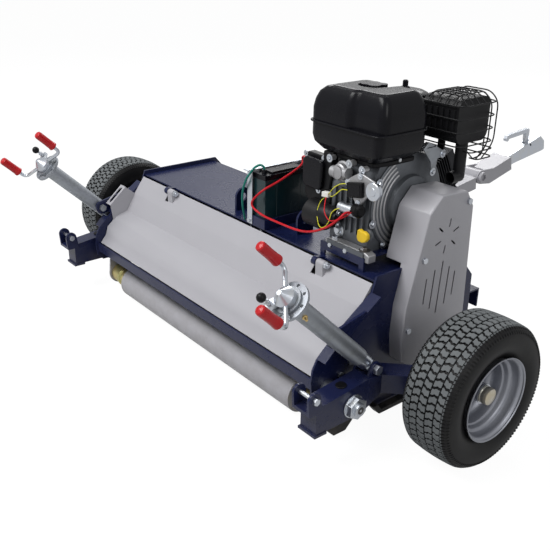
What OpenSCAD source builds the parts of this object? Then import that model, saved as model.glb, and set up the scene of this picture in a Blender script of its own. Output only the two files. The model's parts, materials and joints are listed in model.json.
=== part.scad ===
// Towed flail mower with its own engine, pulled by a quad bike.
// Millimetres. +X is the machine's right seen from behind, +Y is the travel direction,
// +Z is up. Modules are drawn with Y = 0 at the wheel axle and Z = 0 on the ground, and
// placed() moves them so that the origin is the centre of the overall footprint.

/* [Wheels] */
// Distance between the two wheel centres
track = 1785; // [1740:5:1860]
// Outer diameter of a tyre
tyre_d = 406; // [396:1:420]
// Width of a tyre
tyre_w = 155; // [145:1:160]
// Diameter of the rim at its flanges
rim_d = 229; // [220:1:236]
// Diameter of the stub axle
stub_d = 25; // [20:1:28]

/* [Deck] */
// Distance between the two side plates, inside to inside
deck_w = 1212; // [1150:2:1220]
// Thickness of a side plate
plate_t = 6; // [4:0.5:8]
// Thickness of the deck's folded sheet
sheet_t = 5; // [3:0.5:6]
// Height of the deck's top face
deck_top = 425; // [423:0.5:427]
// Height of the upturned lip at the deck's left end
lip_h = 14; // [8:1:20]

/* [Hood] */
// Thickness of the hood's folded sheet
hood_t = 3; // [2:0.5:4]
// Gap between the hood and a side plate
hood_gap = 3; // [2:0.5:6]
// Width of the out-turned slotted strip
strip_w = 34; // [26:1:38]

/* [Rotor] */
// Distance of the rotor axis in front of the wheel axle
rotor_y = 110; // [106:1:114]
// Height of the rotor axis
rotor_z = 215; // [212:1:220]
// Outer diameter of the rotor tube
rotor_d = 140; // [120:2:150]
// Diameter of the rotor's shaft ends
shaft_d = 40; // [30:1:44]
// Radius of the circle that the flail tips run on
flail_r = 188; // [170:1:190]
// Number of flail stations along the rotor
flail_rows = 12; // [8:1:14]

/* [Roller] */
// Distance of the roller axis behind the wheel axle
roller_y = -222; // [-226:1:-218]
// Height of the roller axis
roller_z = 62; // [58:1:64]
// Outer diameter of the roller
roller_d = 114; // [104:1:116]
// Length of the roller's barrel
roller_len = 970; // [900:5:1000]
// Diameter of the roller's journals
journal_d = 35; // [25:1:40]

/* [Wheel arms] */
// Distance of an arm's middle from the machine's middle
arm_x = 680; // [678:0.5:684]
// Width of the arm's tube
arm_w = 60; // [56:1:60]
// Diameter of the pivot shaft
pivot_d = 36; // [30:1:40]
// Diameter of the bolts in the arm's ears
ear_bolt_d = 16; // [12:1:18]
// Length of the pivot shaft beyond its nut
pivot_end = 8; // [4:1:14]

/* [Jacks] */
// Distance of a jack from the machine's middle
jack_x = 672; // [671:0.5:673]
// Lean of the jack from upright, towards the rear at the top
jack_tilt = 46; // [45:0.5:47]
// Outer diameter of the outer tube
tube_d = 50; // [48:1:51]
// Outer diameter of the inner tube
slide_d = 42; // [38:1:43]
// Outer diameter of the index flange
flange_d = 100; // [92:1:108]
// Thickness of the index flange
flange_t = 8; // [6:0.5:10]
// Number of index holes
index_holes = 8; // [6:1:10]
// Distance from the flange to the trunnion bolt
trunnion_at = 250; // [247:1:253]
// Distance from the flange to the lower eye
eye_at = 385; // [383:1:387]
// Length of the outer tube
tube_len = 330; // [320:1:340]
// Diameter of the lifting screw
screw_d = 20; // [16:1:22]
// Diameter of a crank rod
rod_d = 12; // [10:1:14]
// Reach of a crank rod from the jack's axis
crank_reach = 84; // [76:1:90]
// Diameter of a grip
grip_d = 28; // [24:1:32]
// Length of a grip
grip_len = 78; // [60:1:90]

/* [Engine] */
// Distance of the engine shaft in front of the wheel axle
crank_y = 125; // [120:1:130]
// Height of the engine shaft
crank_z = 580; // [576:1:584]
// Diameter of the engine's output shaft
output_d = 25.4; // [22:0.2:28]
// Height of the engine mount's top face
mount_top = 465; // [463:0.5:467]
// Fuel tank size along X
tank_x = 270; // [250:2:276]
// Fuel tank size along Y
tank_y = 188; // [170:2:192]
// Fuel tank seam height above the ground
seam_z = 800; // [796:1:804]
// Wire diameter of the exhaust guard
guard_wire = 4; // [3:0.5:5]
// Number of level wires in the exhaust guard
guard_rings = 6; // [4:1:8]

/* [Battery] */
// Battery width
battery_w = 77; // [72:1:82]
// Battery length
battery_l = 181; // [170:1:186]
// Battery height
battery_h = 170; // [160:1:176]

/* [Belt drive] */
// Pitch diameter of the engine pulley
engine_pulley_d = 84; // [76:1:90]
// Pitch diameter of the rotor pulley
rotor_pulley_d = 118; // [110:1:124]
// Outside face of the belt cover
cover_x = 660; // [656:1:664]
// Thickness of the belt cover's sheet
cover_t = 3; // [2:0.5:4]
// Number of vents in the lower part of the cover
vent_count = 5; // [3:1:7]

/* [Hitch] */
// Side of the square drawbar
drawbar_s = 50; // [46:1:54]
// Rise of the drawbar towards its pivot, degrees
drawbar_rise = 8; // [7:0.5:9]
// Rise of the hitch in front of the pivot, degrees
hitch_rise = 14; // [12:0.5:16]
// Diameter of the drawbar's pivot bolt
hitch_bolt_d = 20; // [16:1:24]
// Diameter of the hitch ball
ball_d = 50; // [47.6:0.4:50.8]

/* [Hidden] */
$fn = 48;

// Clearances: a running fit on the radius, a face that only touches, a clear moving gap
fit = 0.05;
seat = 0.3;
gap = 1;

// Finishes as colours
navy = [0.12, 0.14, 0.32];
silver = [0.66, 0.66, 0.69];
zinc = [0.75, 0.77, 0.8];
black = [0.08, 0.08, 0.09];
cast = [0.55, 0.56, 0.57];

// Overall footprint: the rear of the crank grips to the nose of the coupling
axle_z = tyre_d/2;
coupling_nose_y = 1580;
rear_y = -588;
origin_y = (coupling_nose_y + rear_y)/2;
module placed() translate([0, -origin_y, 0]) children();

// Profiles given as (Y, Z) are extruded along X, profiles given as (X, Z) along Y
module along_x(x0, x1) translate([x0, 0, 0]) rotate([90, 0, 90]) linear_extrude(x1 - x0) children();
module along_y(y0, y1) translate([0, y1, 0]) rotate([90, 0, 0]) linear_extrude(y1 - y0) children();
module rod_x(x0, x1, y, z, d) translate([x0, y, z]) rotate([0, 90, 0]) cylinder(h = x1 - x0, d = d);
module rod_y(y0, y1, x, z, d) translate([x, y0, z]) rotate([-90, 0, 0]) cylinder(h = y1 - y0, d = d);
module rod_z(z0, z1, x, y, d) translate([x, y, z0]) cylinder(h = z1 - z0, d = d);
module hex_x(x0, x1, y, z, flats)
    translate([x0, y, z]) rotate([0, 90, 0]) cylinder(h = x1 - x0, d = flats/cos(30), $fn = 6);
module box(x0, x1, y0, y1, z0, z1) translate([x0, y0, z0]) cube([x1 - x0, y1 - y0, z1 - z0]);
module on_side(s) mirror([s < 0 ? 1 : 0, 0, 0]) children();
module both_sides() { children(); mirror([1, 0, 0]) children(); }
module soft_rect(w, h, r) translate([r, r]) offset(r) square([w - 2*r, h - 2*r]);
module round_bar(a, b, r) hull() { translate(a) circle(r); translate(b) circle(r); }

// A folded sheet: a band of constant thickness t to the left of a line of points
function unit(v) = v/norm(v);
function left_normal(p, i) = let (d = unit(p[i + 1] - p[i])) [-d[1], d[0]];
function mitre(p, i) =
    let (last = len(p) - 2,
         a = left_normal(p, max(i - 1, 0)),
         b = left_normal(p, min(i, last)),
         m = unit(a + b))
    m/(m*a);
function band(p, t) = concat(p, [for (i = [len(p) - 1:-1:0]) p[i] + t*mitre(p, i)]);

// Deck: the side plates' outer line, the housing sheet's line over the rotor and the hood's line
plate_x = deck_w/2 + plate_t;
housing_front_y = 320;
housing_line = [[-86, deck_top], [232, deck_top], [housing_front_y, 332], [326, 60]];
hinge = [-110, 418];
hood_line = [[-94, 418], [-137, 360], [-174, 301], [-223, 285], [-258, 253], [-267, 223], [-290, 197]];
plate_line = [
    [-284, 128], [-304, 148], [-309, 195], [-303, 229], [-290, 255], [-266, 278], [-214, 319],
    [-101, 396], [-86, deck_top + lip_h], [238, deck_top + lip_h], [330, 336], [336, 60],
    [308, 26], [-70, 26], [-130, 128]
];
bar_line = [[-300, 164], [-292, 164], [-292, 194], [-300, 194]];

// Wheel arms and jacks: pivot shaft, jack axis and the eye where both meet
pivot = [-250, 153];
arm_in = arm_x - arm_w/2;
arm_out = arm_x + arm_w/2;
jack_y = -438;
jack_z = 493;
function jack_point(t) = [jack_y + t*sin(jack_tilt), jack_z - t*cos(jack_tilt)];
trunnion = jack_point(trunnion_at);
eye = jack_point(eye_at);
cross_bolt = [-385, 222];
arm_end_y = -375;
ear_t = 7;
ear_r = 20;
ear_in = jack_x - slide_d/2 - gap - ear_t;
ear_out = jack_x + slide_d/2 + gap;
stub_plate_x = track/2 - tyre_w/2 - 18;
stub_plate_t = 10;
pivot_washer_t = 5;
pivot_nut_t = 18;

// Drives
mid_x = deck_w/2;
bearing_d = 90;
pulley_in = plate_x + 9;
pulley_w = 30;

// Engine block
block_x0 = 372;
block_x1 = 522;
block_y0 = -40;
block_y1 = 225;
foot_t = 14;
block_z0 = mount_top + foot_t;
block_z1 = 705;
tank_right = 570;
tank_left = tank_right - tank_x;
tank_rear = -70;
tank_front = tank_rear + tank_y;
tank_bottom = 722;
tank_top = 900;
cap_x = 425;
cap_y = 48;
notch_x = 457;

// Battery place
battery_x = 50;
battery_y = -85;
tray_t = 4;
battery_z = deck_top + tray_t + 3;
lid_h = 22;

// Drawbar line and the eye of its front pivot
beam_y0 = housing_front_y - 2;
beam_y1 = housing_front_y + 66;
beam_z0 = 210;
beam_z1 = 272;
beam_t = 5;
hitch = [1113, 360];
bar_drop = 15;

// Deck: side plates, housing sheet, rear bar, flange strips, trunnion ears and front beam
module side_plate() {
    difference() {
        along_x(mid_x, plate_x) polygon(plate_line);
        rod_x(mid_x - gap, plate_x + gap, rotor_y, rotor_z, bearing_d - 20);
        for (p = hanger_bolts) rod_x(mid_x - gap, plate_x + gap, p[0], p[1], bolt_d + 2*fit);
    }
}
ear_plate_t = 8;
ear_plate_x = jack_x - tube_d/2 - 4 - ear_plate_t;
module trunnion_ear() {
    difference() {
        along_x(ear_plate_x, ear_plate_x + ear_plate_t) hull() {
            translate(trunnion) circle(24);
            polygon([[-236, 300], [-150, 358], [-150, 368], [-250, 300]]);
        }
        rod_x(ear_plate_x - gap, ear_plate_x + ear_plate_t + gap, trunnion[0], trunnion[1], ear_bolt_d + 2*fit);
    }
}
flange_line = [[-101, 396], [-236, 304]];
tab_line = [[-252, 289], [-266, 278], [-288, 257]];
module side_flanges() {
    along_x(plate_x, plate_x + 32) polygon(band(flange_line, 6));
    along_x(plate_x, plate_x + 28) polygon(band(tab_line, 6));
}
module hinge_lug(x) difference() {
    along_x(x + lug_x0, x + lug_x1) hull() {
        translate(hinge) circle(13);
        translate([-86, deck_top - sheet_t]) square([6, sheet_t]);
    }
    rod_x(x + lug_x0 - 1, x + lug_x1 + 1, hinge[0], hinge[1], hinge_bolt_d + 2*fit);
}
module deck_shell() {
    color(navy) placed() {
        both_sides() {
            side_plate();
            side_flanges();
            trunnion_ear();
        }
        along_x(-mid_x, mid_x) polygon(band(housing_line, -sheet_t));
        along_x(-mid_x, mid_x) polygon(bar_line);
        for (x = knuckle_x) hinge_lug(x);
        difference() {
            box(-mid_x, mid_x, beam_y0, beam_y1, beam_z0, beam_z1);
            box(-mid_x, mid_x, beam_y0 + beam_t, beam_y1 - beam_t, beam_z0 - gap, beam_z1 - beam_t);
        }
        lug(-74, -53, 11);
        lug(216, -35, 29);
    }
}

// Lifting lugs: two upright plates with a round eye, welded on the deck
lug_t = 8;
lug_h = 75;
lug_hole = 25;
module lug(x, y0, y1) {
    along_x(x, x + lug_t) difference() {
        hull() {
            translate([(y0 + y1)/2, deck_top + lug_h - 32]) circle((y1 - y0)/2);
            translate([y0, deck_top]) square([y1 - y0, 2]);
        }
        translate([(y0 + y1)/2, deck_top + lug_h - 32]) circle(d = lug_hole);
    }
}

// Roller hangers: round-ended plates bolted inside the side plates
hanger_t = 8;
hanger_x = mid_x - hanger_t - seat;
hanger_r = 42;
module roller_hangers() {
    color(silver) placed() both_sides() difference() {
        along_x(hanger_x, hanger_x + hanger_t) hull() {
            translate([roller_y, roller_z]) circle(hanger_r);
            polygon([[-258, 120], [-232, 170], [-195, 228], [-150, 232], [-186, 120]]);
        }
        rod_x(hanger_x - gap, mid_x, roller_y, roller_z, journal_d + 2*fit);
        for (p = hanger_bolts) rod_x(hanger_x - gap, mid_x, p[0], p[1], bolt_d + 2*fit);
    }
}

// Skid runners: wear strips under the side plates, turned up at both ends
runner_x1 = plate_x + 26;
module runner(points) along_x(plate_x + seat, runner_x1) polygon(points);
module skid_runners() {
    color(black) placed() {
        both_sides() runner([[-92, 44], [-62, 10], [280, 10], [318, 48], [318, 58], [270, 24], [-56, 24], [-70, 44]]);
        runner([[-262, 34], [-240, 12], [-196, 12], [-168, 40], [-168, 165], [-212, 165], [-218, 110], [-262, 98]]);
    }
}

// Engine mount: a bridge channel across the deck with two foot rails
channel_x0 = 372;
channel_x1 = 546;
channel_y0 = -74;
channel_y1 = 222;
channel_t = 6;
module engine_mount() {
    color(navy) placed() difference() {
        box(channel_x0, channel_x1, channel_y0, channel_y1, deck_top + seat, mount_top);
        box(channel_x0 - gap, channel_x1 + gap, channel_y0 + channel_t, channel_y1 - channel_t,
            deck_top - gap, mount_top - channel_t);
        for (x = foot_x) for (y = foot_y) rod_z(mount_top - 20, mount_top + gap, x, y, bolt_d + 2*fit);
    }
}

// Frame bolts: hex bolts through the engine feet, the belt cover and the roller hangers
bolt_d = 10;
bolt_flats = 16;
bolt_head = 7;
foot_x = [channel_x0 + 40, channel_x1 - 20];
foot_y = [channel_y0 + 18, channel_y1 - 26];
hanger_bolts = [[-206, 184], [-170, 212]];
module frame_bolts() {
    color(zinc) placed() {
        for (x = foot_x) for (y = foot_y) {
            rod_z(mount_top - channel_t - 12, block_z0 + seat, x, y, bolt_d);
            translate([x, y, block_z0 + seat]) cylinder(h = bolt_head, d = bolt_flats/cos(30), $fn = 6);
            translate([x, y, mount_top - channel_t - seat - bolt_head]) cylinder(h = bolt_head, d = bolt_flats/cos(30), $fn = 6);
        }
        for (p = cover_bolts) {
            rod_x(cover_x - 16, cover_x + seat, p[0], p[1], bolt_d);
            hex_x(cover_x + seat, cover_x + seat + bolt_head, p[0], p[1], bolt_flats);
        }
        both_sides() for (p = hanger_bolts) {
            rod_x(hanger_x - 10, plate_x + seat, p[0], p[1], bolt_d);
            hex_x(plate_x + seat, plate_x + seat + bolt_head, p[0], p[1], bolt_flats);
            hex_x(hanger_x - seat - bolt_head, hanger_x - seat, p[0], p[1], bolt_flats);
        }
    }
}

// Drawbar: a square tube from the front beam up to its pivot eye, with a gusset at its root
module hitch_frame(rise) translate([0, hitch[0], hitch[1]]) rotate([rise, 0, 0]) children();
bar_wall = 4;
eye_d = 57;
root_t = 8;
root_y = beam_y1 + seat;
root_z = hitch[1] - bar_drop - (hitch[0] - root_y)*tan(drawbar_rise);
bar_len = (hitch[0] - root_y - root_t/2)/cos(drawbar_rise);
bar_half = drawbar_s/2;
cheek_t = 8;
channel_w = drawbar_s + 40;
eye_half = channel_w/2 - cheek_t - seat;
module drawbar() {
    color(silver) placed() {
        difference() {
            union() {
                hitch_frame(drawbar_rise) {
                    box(-bar_half, bar_half, -bar_len, -22, -bar_drop - bar_half, bar_half - bar_drop);
                    rod_x(-eye_half, eye_half, 0, 0, eye_d);
                    difference() {
                        box(-channel_w/2, channel_w/2, -150, -34, -bar_drop - bar_half, bar_half - bar_drop);
                        box(bar_wall - channel_w/2, channel_w/2 - bar_wall, -150 - gap, -34 + gap,
                            -bar_drop - bar_half + bar_wall, bar_half - bar_drop - bar_wall);
                    }
                }
                box(-70, 70, root_y, root_y + root_t, root_z - 46, root_z + 46);
            }
            hitch_frame(drawbar_rise) box(-bar_half + bar_wall, bar_half - bar_wall, -bar_len - 20, -40,
                -bar_drop - bar_half + bar_wall, bar_half - bar_drop - bar_wall);
            hitch_frame(drawbar_rise) rod_x(-eye_half - gap, eye_half + gap, 0, 0, hitch_bolt_d + 2*fit);
        }
        for (s = [-1, 1]) on_side(s) along_x(bar_half - 1, bar_half + 7)
            polygon([[root_y + 1, root_z - 30], [root_y + 90, root_z], [root_y + 90, root_z + 14], [root_y + 1, root_z + 44]]);
    }
}

// Hitch channel: open below, with two cheeks on the drawbar's pivot bolt
channel_top = 7;
channel_h = 58;
channel_wall = 5;
sleeve_y0 = 50;
sleeve_y1 = 199;
module hitch_sleeve() {
    color(silver) placed() hitch_frame(hitch_rise) {
        difference() {
            union() {
                box(-channel_w/2, channel_w/2, sleeve_y0, sleeve_y1, channel_top - channel_h, channel_top);
                for (s = [0, 1]) mirror([s, 0, 0]) along_x(channel_w/2 - cheek_t, channel_w/2) hull() {
                    circle(d = eye_d);
                    translate([sleeve_y0, channel_top - channel_h]) square([30, channel_h]);
                }
            }
            box(channel_wall - channel_w/2, channel_w/2 - channel_wall, sleeve_y0 + 6, sleeve_y1 + gap,
                channel_top - channel_h - gap, channel_top - channel_wall);
            for (s = [0, 1]) mirror([s, 0, 0])
                rod_x(eye_half - gap, channel_w/2 + gap, 0, 0, hitch_bolt_d + 2*fit);
        }
        rod_x(-channel_w/2 - 4, channel_w/2 + 4, 0, 0, hitch_bolt_d);
        for (s = [0, 1]) mirror([s, 0, 0]) difference() {
            rod_x(channel_w/2 + seat, channel_w/2 + 12, 0, 0, 46);
            hex_x(channel_w/2 + 4, channel_w/2 + 13, 0, 0, 24);
        }
    }
}

// Coupling: a pressed ball socket on a stem, with its latch lever on top
stem_s = drawbar_s;
stem_top = channel_top - channel_wall - seat;
stem_bottom = stem_top - 47;
socket_y = 428;
socket_w = 78;
socket_z = -57;
ball_z = -40;
latch = [357, -6];
module coupling_body() {
    color(zinc) placed() hitch_frame(hitch_rise) difference() {
        union() {
            box(channel_wall + seat - channel_w/2, channel_w/2 - channel_wall - seat, sleeve_y0 + 46, sleeve_y1 - 2, -34, stem_top);
            box(-stem_s/2, stem_s/2, sleeve_y1 - 10, sleeve_y1 + 66, stem_bottom, stem_top);
            hull() {
                box(-stem_s/2, stem_s/2, sleeve_y1 + 46, sleeve_y1 + 76, stem_bottom, stem_top);
                translate([0, socket_y, socket_z]) cylinder(h = 32, d = socket_w);
                translate([0, socket_y, 0]) cylinder(h = 2, d = 44);
            }
        }
        translate([0, socket_y, ball_z]) sphere(d = ball_d + 1);
        translate([0, socket_y, socket_z - 40]) cylinder(h = ball_z - socket_z + 40, d = ball_d + 1);
        box(-8.3, 8.3, latch[0] - 17, latch[0] + 28, latch[1] - 12.3, latch[1] + 40);
        rod_x(-60, 60, latch[0], latch[1], 10 + 2*fit);
    }
}
module coupling_lever() {
    color(zinc) placed() hitch_frame(hitch_rise) {
        difference() {
            along_x(-8, 8) {
                round_bar(latch, latch + [11, 56], 11);
                round_bar(latch + [11, 58], latch + [-125, 82], 9);
                round_bar(latch + [-125, 82], latch + [-131, 74], 9);
            }
            rod_x(-9, 9, latch[0], latch[1], 10 + 2*fit);
        }
    }
}

// Battery: tray, case, lid and a strap clamp over the top
module battery_tray() {
    color(navy) placed() difference() {
        box(battery_x - tray_wall, battery_x + battery_w + tray_wall, battery_y - tray_wall, battery_y + battery_l + tray_wall,
            deck_top + seat, battery_z + 26);
        box(battery_x - seat, battery_x + battery_w + seat, battery_y - seat, battery_y + battery_l + seat,
            battery_z, battery_z + 40);
    }
}
module battery_case() {
    color([0.05, 0.16, 0.12]) placed() difference() {
        box(battery_x, battery_x + battery_w, battery_y, battery_y + battery_l,
            battery_z, battery_z + battery_h - lid_h);
        for (y = [battery_y + 40, battery_y + battery_l - 46]) for (side = [0, 1])
            box(battery_x - gap + side*(battery_w + gap - 1), battery_x + 1 + side*battery_w, y, y + 6,
                battery_z + 10, battery_z + battery_h - lid_h - 12);
    }
}
post_d = 16;
module battery_lid() {
    color(black) placed() {
        box(battery_x - 1, battery_x + battery_w + 1, battery_y - 1, battery_y + battery_l + 1,
            battery_z + battery_h - lid_h, battery_z + battery_h - 6);
        box(battery_x + 8, battery_x + battery_w - 8, battery_y + 30, battery_y + battery_l - 30,
            battery_z + battery_h - 6, battery_z + battery_h);
        for (y = [battery_y + 14, battery_y + battery_l - 14])
            rod_z(battery_z + battery_h - 6, battery_z + battery_h + 8, battery_x + battery_w - 23, y, post_d);
    }
}
strap_w = 24;
strap_t = 3;
strap_x = battery_x + 12;
tray_wall = 7;
module battery_strap() {
    strap_z = battery_z + battery_h + seat;
    rear = battery_y - tray_wall - seat;
    front = battery_y + battery_l + tray_wall + seat;
    color(zinc) placed() {
        box(strap_x - strap_w/2, strap_x + strap_w/2, rear - 18, front + 10, strap_z, strap_z + strap_t);
        for (y = [rear - strap_t, front]) {
            box(strap_x - strap_w/2, strap_x + strap_w/2, y, y + strap_t, deck_top + 4, strap_z + 1);
            translate([strap_x, y + strap_t/2, deck_top + 16]) rotate([y < 0 ? 90 : -90, 0, 0])
                cylinder(h = strap_t/2 + 6, d = 15, $fn = 6);
        }
    }
}

// Engine: block on its feet, finned head, blower housing and controls
module crankcase() {
    color(cast) placed() {
        for (y = [foot_y[0] - 18, foot_y[1] - 18])
            difference() {
                box(channel_x0 + 26, channel_x1 - 4, y, y + 38, mount_top + seat, block_z0);
                for (x = foot_x) for (v = foot_y) rod_z(mount_top, block_z0 + gap, x, v, bolt_d + 2*fit);
            }
        for (x = [396, 492]) box(x, x + 30, tank_rear + 60, tank_rear + 170, block_z1, tank_bottom - seat);
        difference() {
            union() {
                box(block_x0, block_x1, block_y0, foot_y[1] - 14, mount_top + seat, block_z0 + 42);
                box(block_x0, block_x1, block_y0, block_y1, block_z0 + 40, block_z1 - 70);
                along_x(block_x0, block_x1) polygon([[block_y0, block_z1 - 70], [block_y1, block_z1 - 70],
                    [block_y1 - 60, block_z1], [block_y0 + 30, block_z1]]);
                rod_x(block_x1, block_x1 + 10, crank_y, crank_z, 120);
                for (k = [0:5]) box(block_x0 + 20 + 22*k, block_x0 + 25 + 22*k, block_y0 - 8, block_y0, block_z0 + 30, block_z1 - 76);
            }
            rod_x(block_x1 - 30, block_x1 + 11, crank_y, crank_z, output_d + 2*fit);
        }
    }
}
fin_t = 3;
fin_pitch = 9;
fin_count = 11;
head_tilt = -62;
module cylinder_head() {
    color(cast) placed() translate([(block_x0 + block_x1)/2, block_y1 + seat, 584]) rotate([head_tilt, 0, 0]) intersection() {
        union() {
            translate([-50, -56, -60]) cube([100, 112, 175]);
            for (k = [0:fin_count - 1]) translate([-60, -64, 10 + k*fin_pitch]) cube([120, 128, fin_t]);
            translate([-52, -58, 12 + fin_count*fin_pitch]) cube([104, 116, 26]);
        }
        rotate([-head_tilt, 0, 0]) translate([-100, 0, -200]) cube([200, 300, 400]);
    }
}
blower_x0 = 262;
blower_r = 125;
module blower_housing() {
    color(black) placed() {
        difference() {
            union() {
                rod_x(blower_x0 + 30, block_x0 - seat, crank_y, crank_z, 2*blower_r);
                along_x(blower_x0 + 30, block_x0 - seat) polygon([[crank_y, crank_z], [crank_y + blower_r, crank_z],
                    [crank_y + blower_r, crank_z + 110], [crank_y + 60, crank_z + blower_r]]);
                translate([blower_x0 + 30, crank_y, crank_z]) rotate([0, -90, 0]) cylinder(h = 30, d1 = 200, d2 = 160);
            }
            for (a = [0:20:340]) rotate_about_crank(a) box(blower_x0 - 1, blower_x0 + 12, 52, 70, -4, 4);
        }
        rod_x(blower_x0 - 8, blower_x0, crank_y, crank_z, 64);
    }
}
module rotate_about_crank(a) translate([0, crank_y, crank_z]) rotate([a, 0, 0]) children();

box_x0 = 254;
box_x1 = 361;
module control_box() {
    color(black) placed() difference() {
        union() {
            along_x(box_x0, box_x1) polygon([[-62, 598], [-62, 688], [-50, 700], [-24, 700], [-18, 694], [-18, 590], [-54, 590]]);
            box(box_x1 - 60, box_x1 - 10, -19, crank_y - sqrt(blower_r*blower_r - 144) - seat, crank_z + 12, crank_z + 20);
        }
        box(box_x0 + 26, box_x1 - 8, -63, -60, 606, 680);
    }
}

module tank_outline(inset) translate([tank_left + inset, tank_rear + inset])
    soft_rect(tank_x - 2*inset, tank_y - 2*inset, 22);
shoulder_x = tank_left + 46;
cap_floor = tank_top - 14;
module fuel_tank() {
    color(black) placed() difference() {
        union() {
            hull() {
                translate([0, 0, tank_bottom]) linear_extrude(1) tank_outline(16);
                translate([0, 0, tank_bottom + 20]) linear_extrude(seam_z - tank_bottom - 24) tank_outline(4);
            }
            translate([0, 0, seam_z - 4]) linear_extrude(8) tank_outline(0);
            hull() {
                translate([0, 0, seam_z + 4]) linear_extrude(40) tank_outline(4);
                translate([tank_left + 14, tank_rear + 9, tank_top - 26]) cube([tank_x - 24, tank_y - 20, 3]);
                translate([shoulder_x, tank_rear + 20, tank_top - 3]) cube([tank_right - shoulder_x - 22, tank_y - 44, 3]);
            }
        }
        box(notch_x, tank_right + gap, tank_rear - gap, tank_rear + 12, seam_z + 12, tank_top + gap);
        hull() {
            rod_z(cap_floor, tank_top + gap, cap_x, cap_y, 84);
            rod_z(cap_floor, tank_top + gap, cap_x + 20, tank_front, 110);
        }
        rod_z(cap_floor - 26, tank_top, cap_x, cap_y, 44);
    }
}
module fuel_cap() {
    color(black) placed() translate([cap_x, cap_y, 0]) {
        translate([0, 0, cap_floor + seat]) linear_extrude(17) union() {
            for (k = [0:3]) rotate(90*k + 45) translate([20, 0]) circle(16);
            circle(26);
        }
        rod_z(cap_floor - 12, cap_floor + gap, 0, 0, 43);
    }
}
cleaner = [405, 195];
cleaner_top = 863;
module air_cleaner() {
    color(black) placed() {
        rod_z(block_z1 + seat, cleaner_top - 50, cleaner[0], cleaner[1] - 10, 104);
        translate([cleaner[0], cleaner[1], cleaner_top - 58]) cylinder(h = 10, d1 = 104, d2 = 140);
        rod_z(cleaner_top - 48, cleaner_top, cleaner[0], cleaner[1], 140);
        translate([cleaner[0], cleaner[1], cleaner_top]) cylinder(h = 13, d1 = 132, d2 = 60);
        rod_z(cleaner_top, cleaner_top + 39, cleaner[0], cleaner[1], 26);
    }
}

// Muffler, its pipe and the wire guard round it
muffler_x0 = 482;
muffler_x1 = 606;
muffler_y0 = 188;
muffler_l = 134;
muffler_z = 750;
muffler_h = 122;
skin = 2.5;
pipe_x = 580;
pipe_y = 250;
pipe_d = 34;
pipe_bend_z = 650;
module muffler() {
    color(black) placed() {
        difference() {
            along_x(muffler_x0, muffler_x1) translate([muffler_y0, muffler_z]) soft_rect(muffler_l, muffler_h, 26);
            along_x(muffler_x0 + skin, muffler_x1 - skin) translate([muffler_y0 + skin, muffler_z + skin])
                soft_rect(muffler_l - 2*skin, muffler_h - 2*skin, 26 - skin);
            rod_z(muffler_z - gap, muffler_z + 10, pipe_x, pipe_y, pipe_d - 2*skin);
        }
        for (k = [0:5]) box(muffler_x0 + 8 + 20*k, muffler_x0 + 14 + 20*k, muffler_y0 - 5, muffler_y0 + gap,
            muffler_z + 28, muffler_z + muffler_h - 28);
        along_x(muffler_x0 + 13, block_x1 - 4) polygon([[148, block_z1 + seat], [256, block_z1 + seat],
            [256, muffler_z + skin], [250, muffler_z + skin], [250, block_z1 + 6], [148, block_z1 + 6]]);
    }
}
guard_x0 = muffler_x0 - 12;
guard_x1 = muffler_x1 + 22;
guard_y0 = muffler_y0 - 12;
guard_y1 = muffler_y0 + muffler_l + 14;
guard_z0 = muffler_z - 47;
guard_z1 = muffler_z + muffler_h + 12;
guard_mid_x = muffler_x0 + 62;
wire_r = guard_wire/2;
// A wire of the guard along one axis, square in section, its ends flush with the wires it meets
module wire_x(x0, x1, y, z) box(x0 - wire_r, x1 + wire_r, y - wire_r, y + wire_r, z - wire_r, z + wire_r);
module wire_y(y0, y1, x, z) box(x - wire_r, x + wire_r, y0 - wire_r, y1 + wire_r, z - wire_r, z + wire_r);
module wire_z(z0, z1, x, y) box(x - wire_r, x + wire_r, y - wire_r, y + wire_r, z0 - wire_r, z1 + wire_r);
module muffler_guard() {
    ring_pitch = (guard_z1 - guard_z0)/(guard_rings - 1);
    color(black) placed() {
        for (k = [0:guard_rings - 1]) {
            z = guard_z0 + ring_pitch*k;
            low = z < muffler_z;
            wire_y(low ? guard_y0 + 40 : guard_y0, guard_y1, guard_x1, z);
            wire_x(low ? guard_mid_x : guard_x0, guard_x1, guard_y1, z);
            if (!low) wire_x(guard_x0 + 12, guard_x1, guard_y0, z);
        }
        for (k = [0:3]) {
            y = guard_y0 + 42 + 32*k;
            wire_z(guard_z0, guard_z1, guard_x1, y);
            wire_x(guard_x0, guard_x1, y, guard_z1);
        }
        wire_z(guard_z0, guard_z1, guard_x1, guard_y1);
        for (x = [guard_x0, guard_mid_x]) {
            wire_y(guard_y0, guard_y1, x, guard_z1);
            wire_z(x > guard_x0 ? guard_z0 : muffler_z + 24, guard_z1, x, guard_y1);
        }
        for (z = [muffler_z + 33, muffler_z + 63]) wire_x(muffler_x1 + seat + wire_r, guard_x1, guard_y0 + 74, z);
    }
}
module pipe_run(d, out) {
    rod_z(pipe_bend_z, muffler_z - seat + out, pipe_x, pipe_y, d);
    translate([pipe_x, pipe_y, pipe_bend_z]) sphere(d = d);
    rod_y(pipe_y - 38 - out, pipe_y, pipe_x, pipe_bend_z, d);
}
module exhaust_pipe() {
    color(black) placed() difference() {
        pipe_run(pipe_d, 0);
        pipe_run(pipe_d - 2*skin, gap);
    }
}

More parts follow.
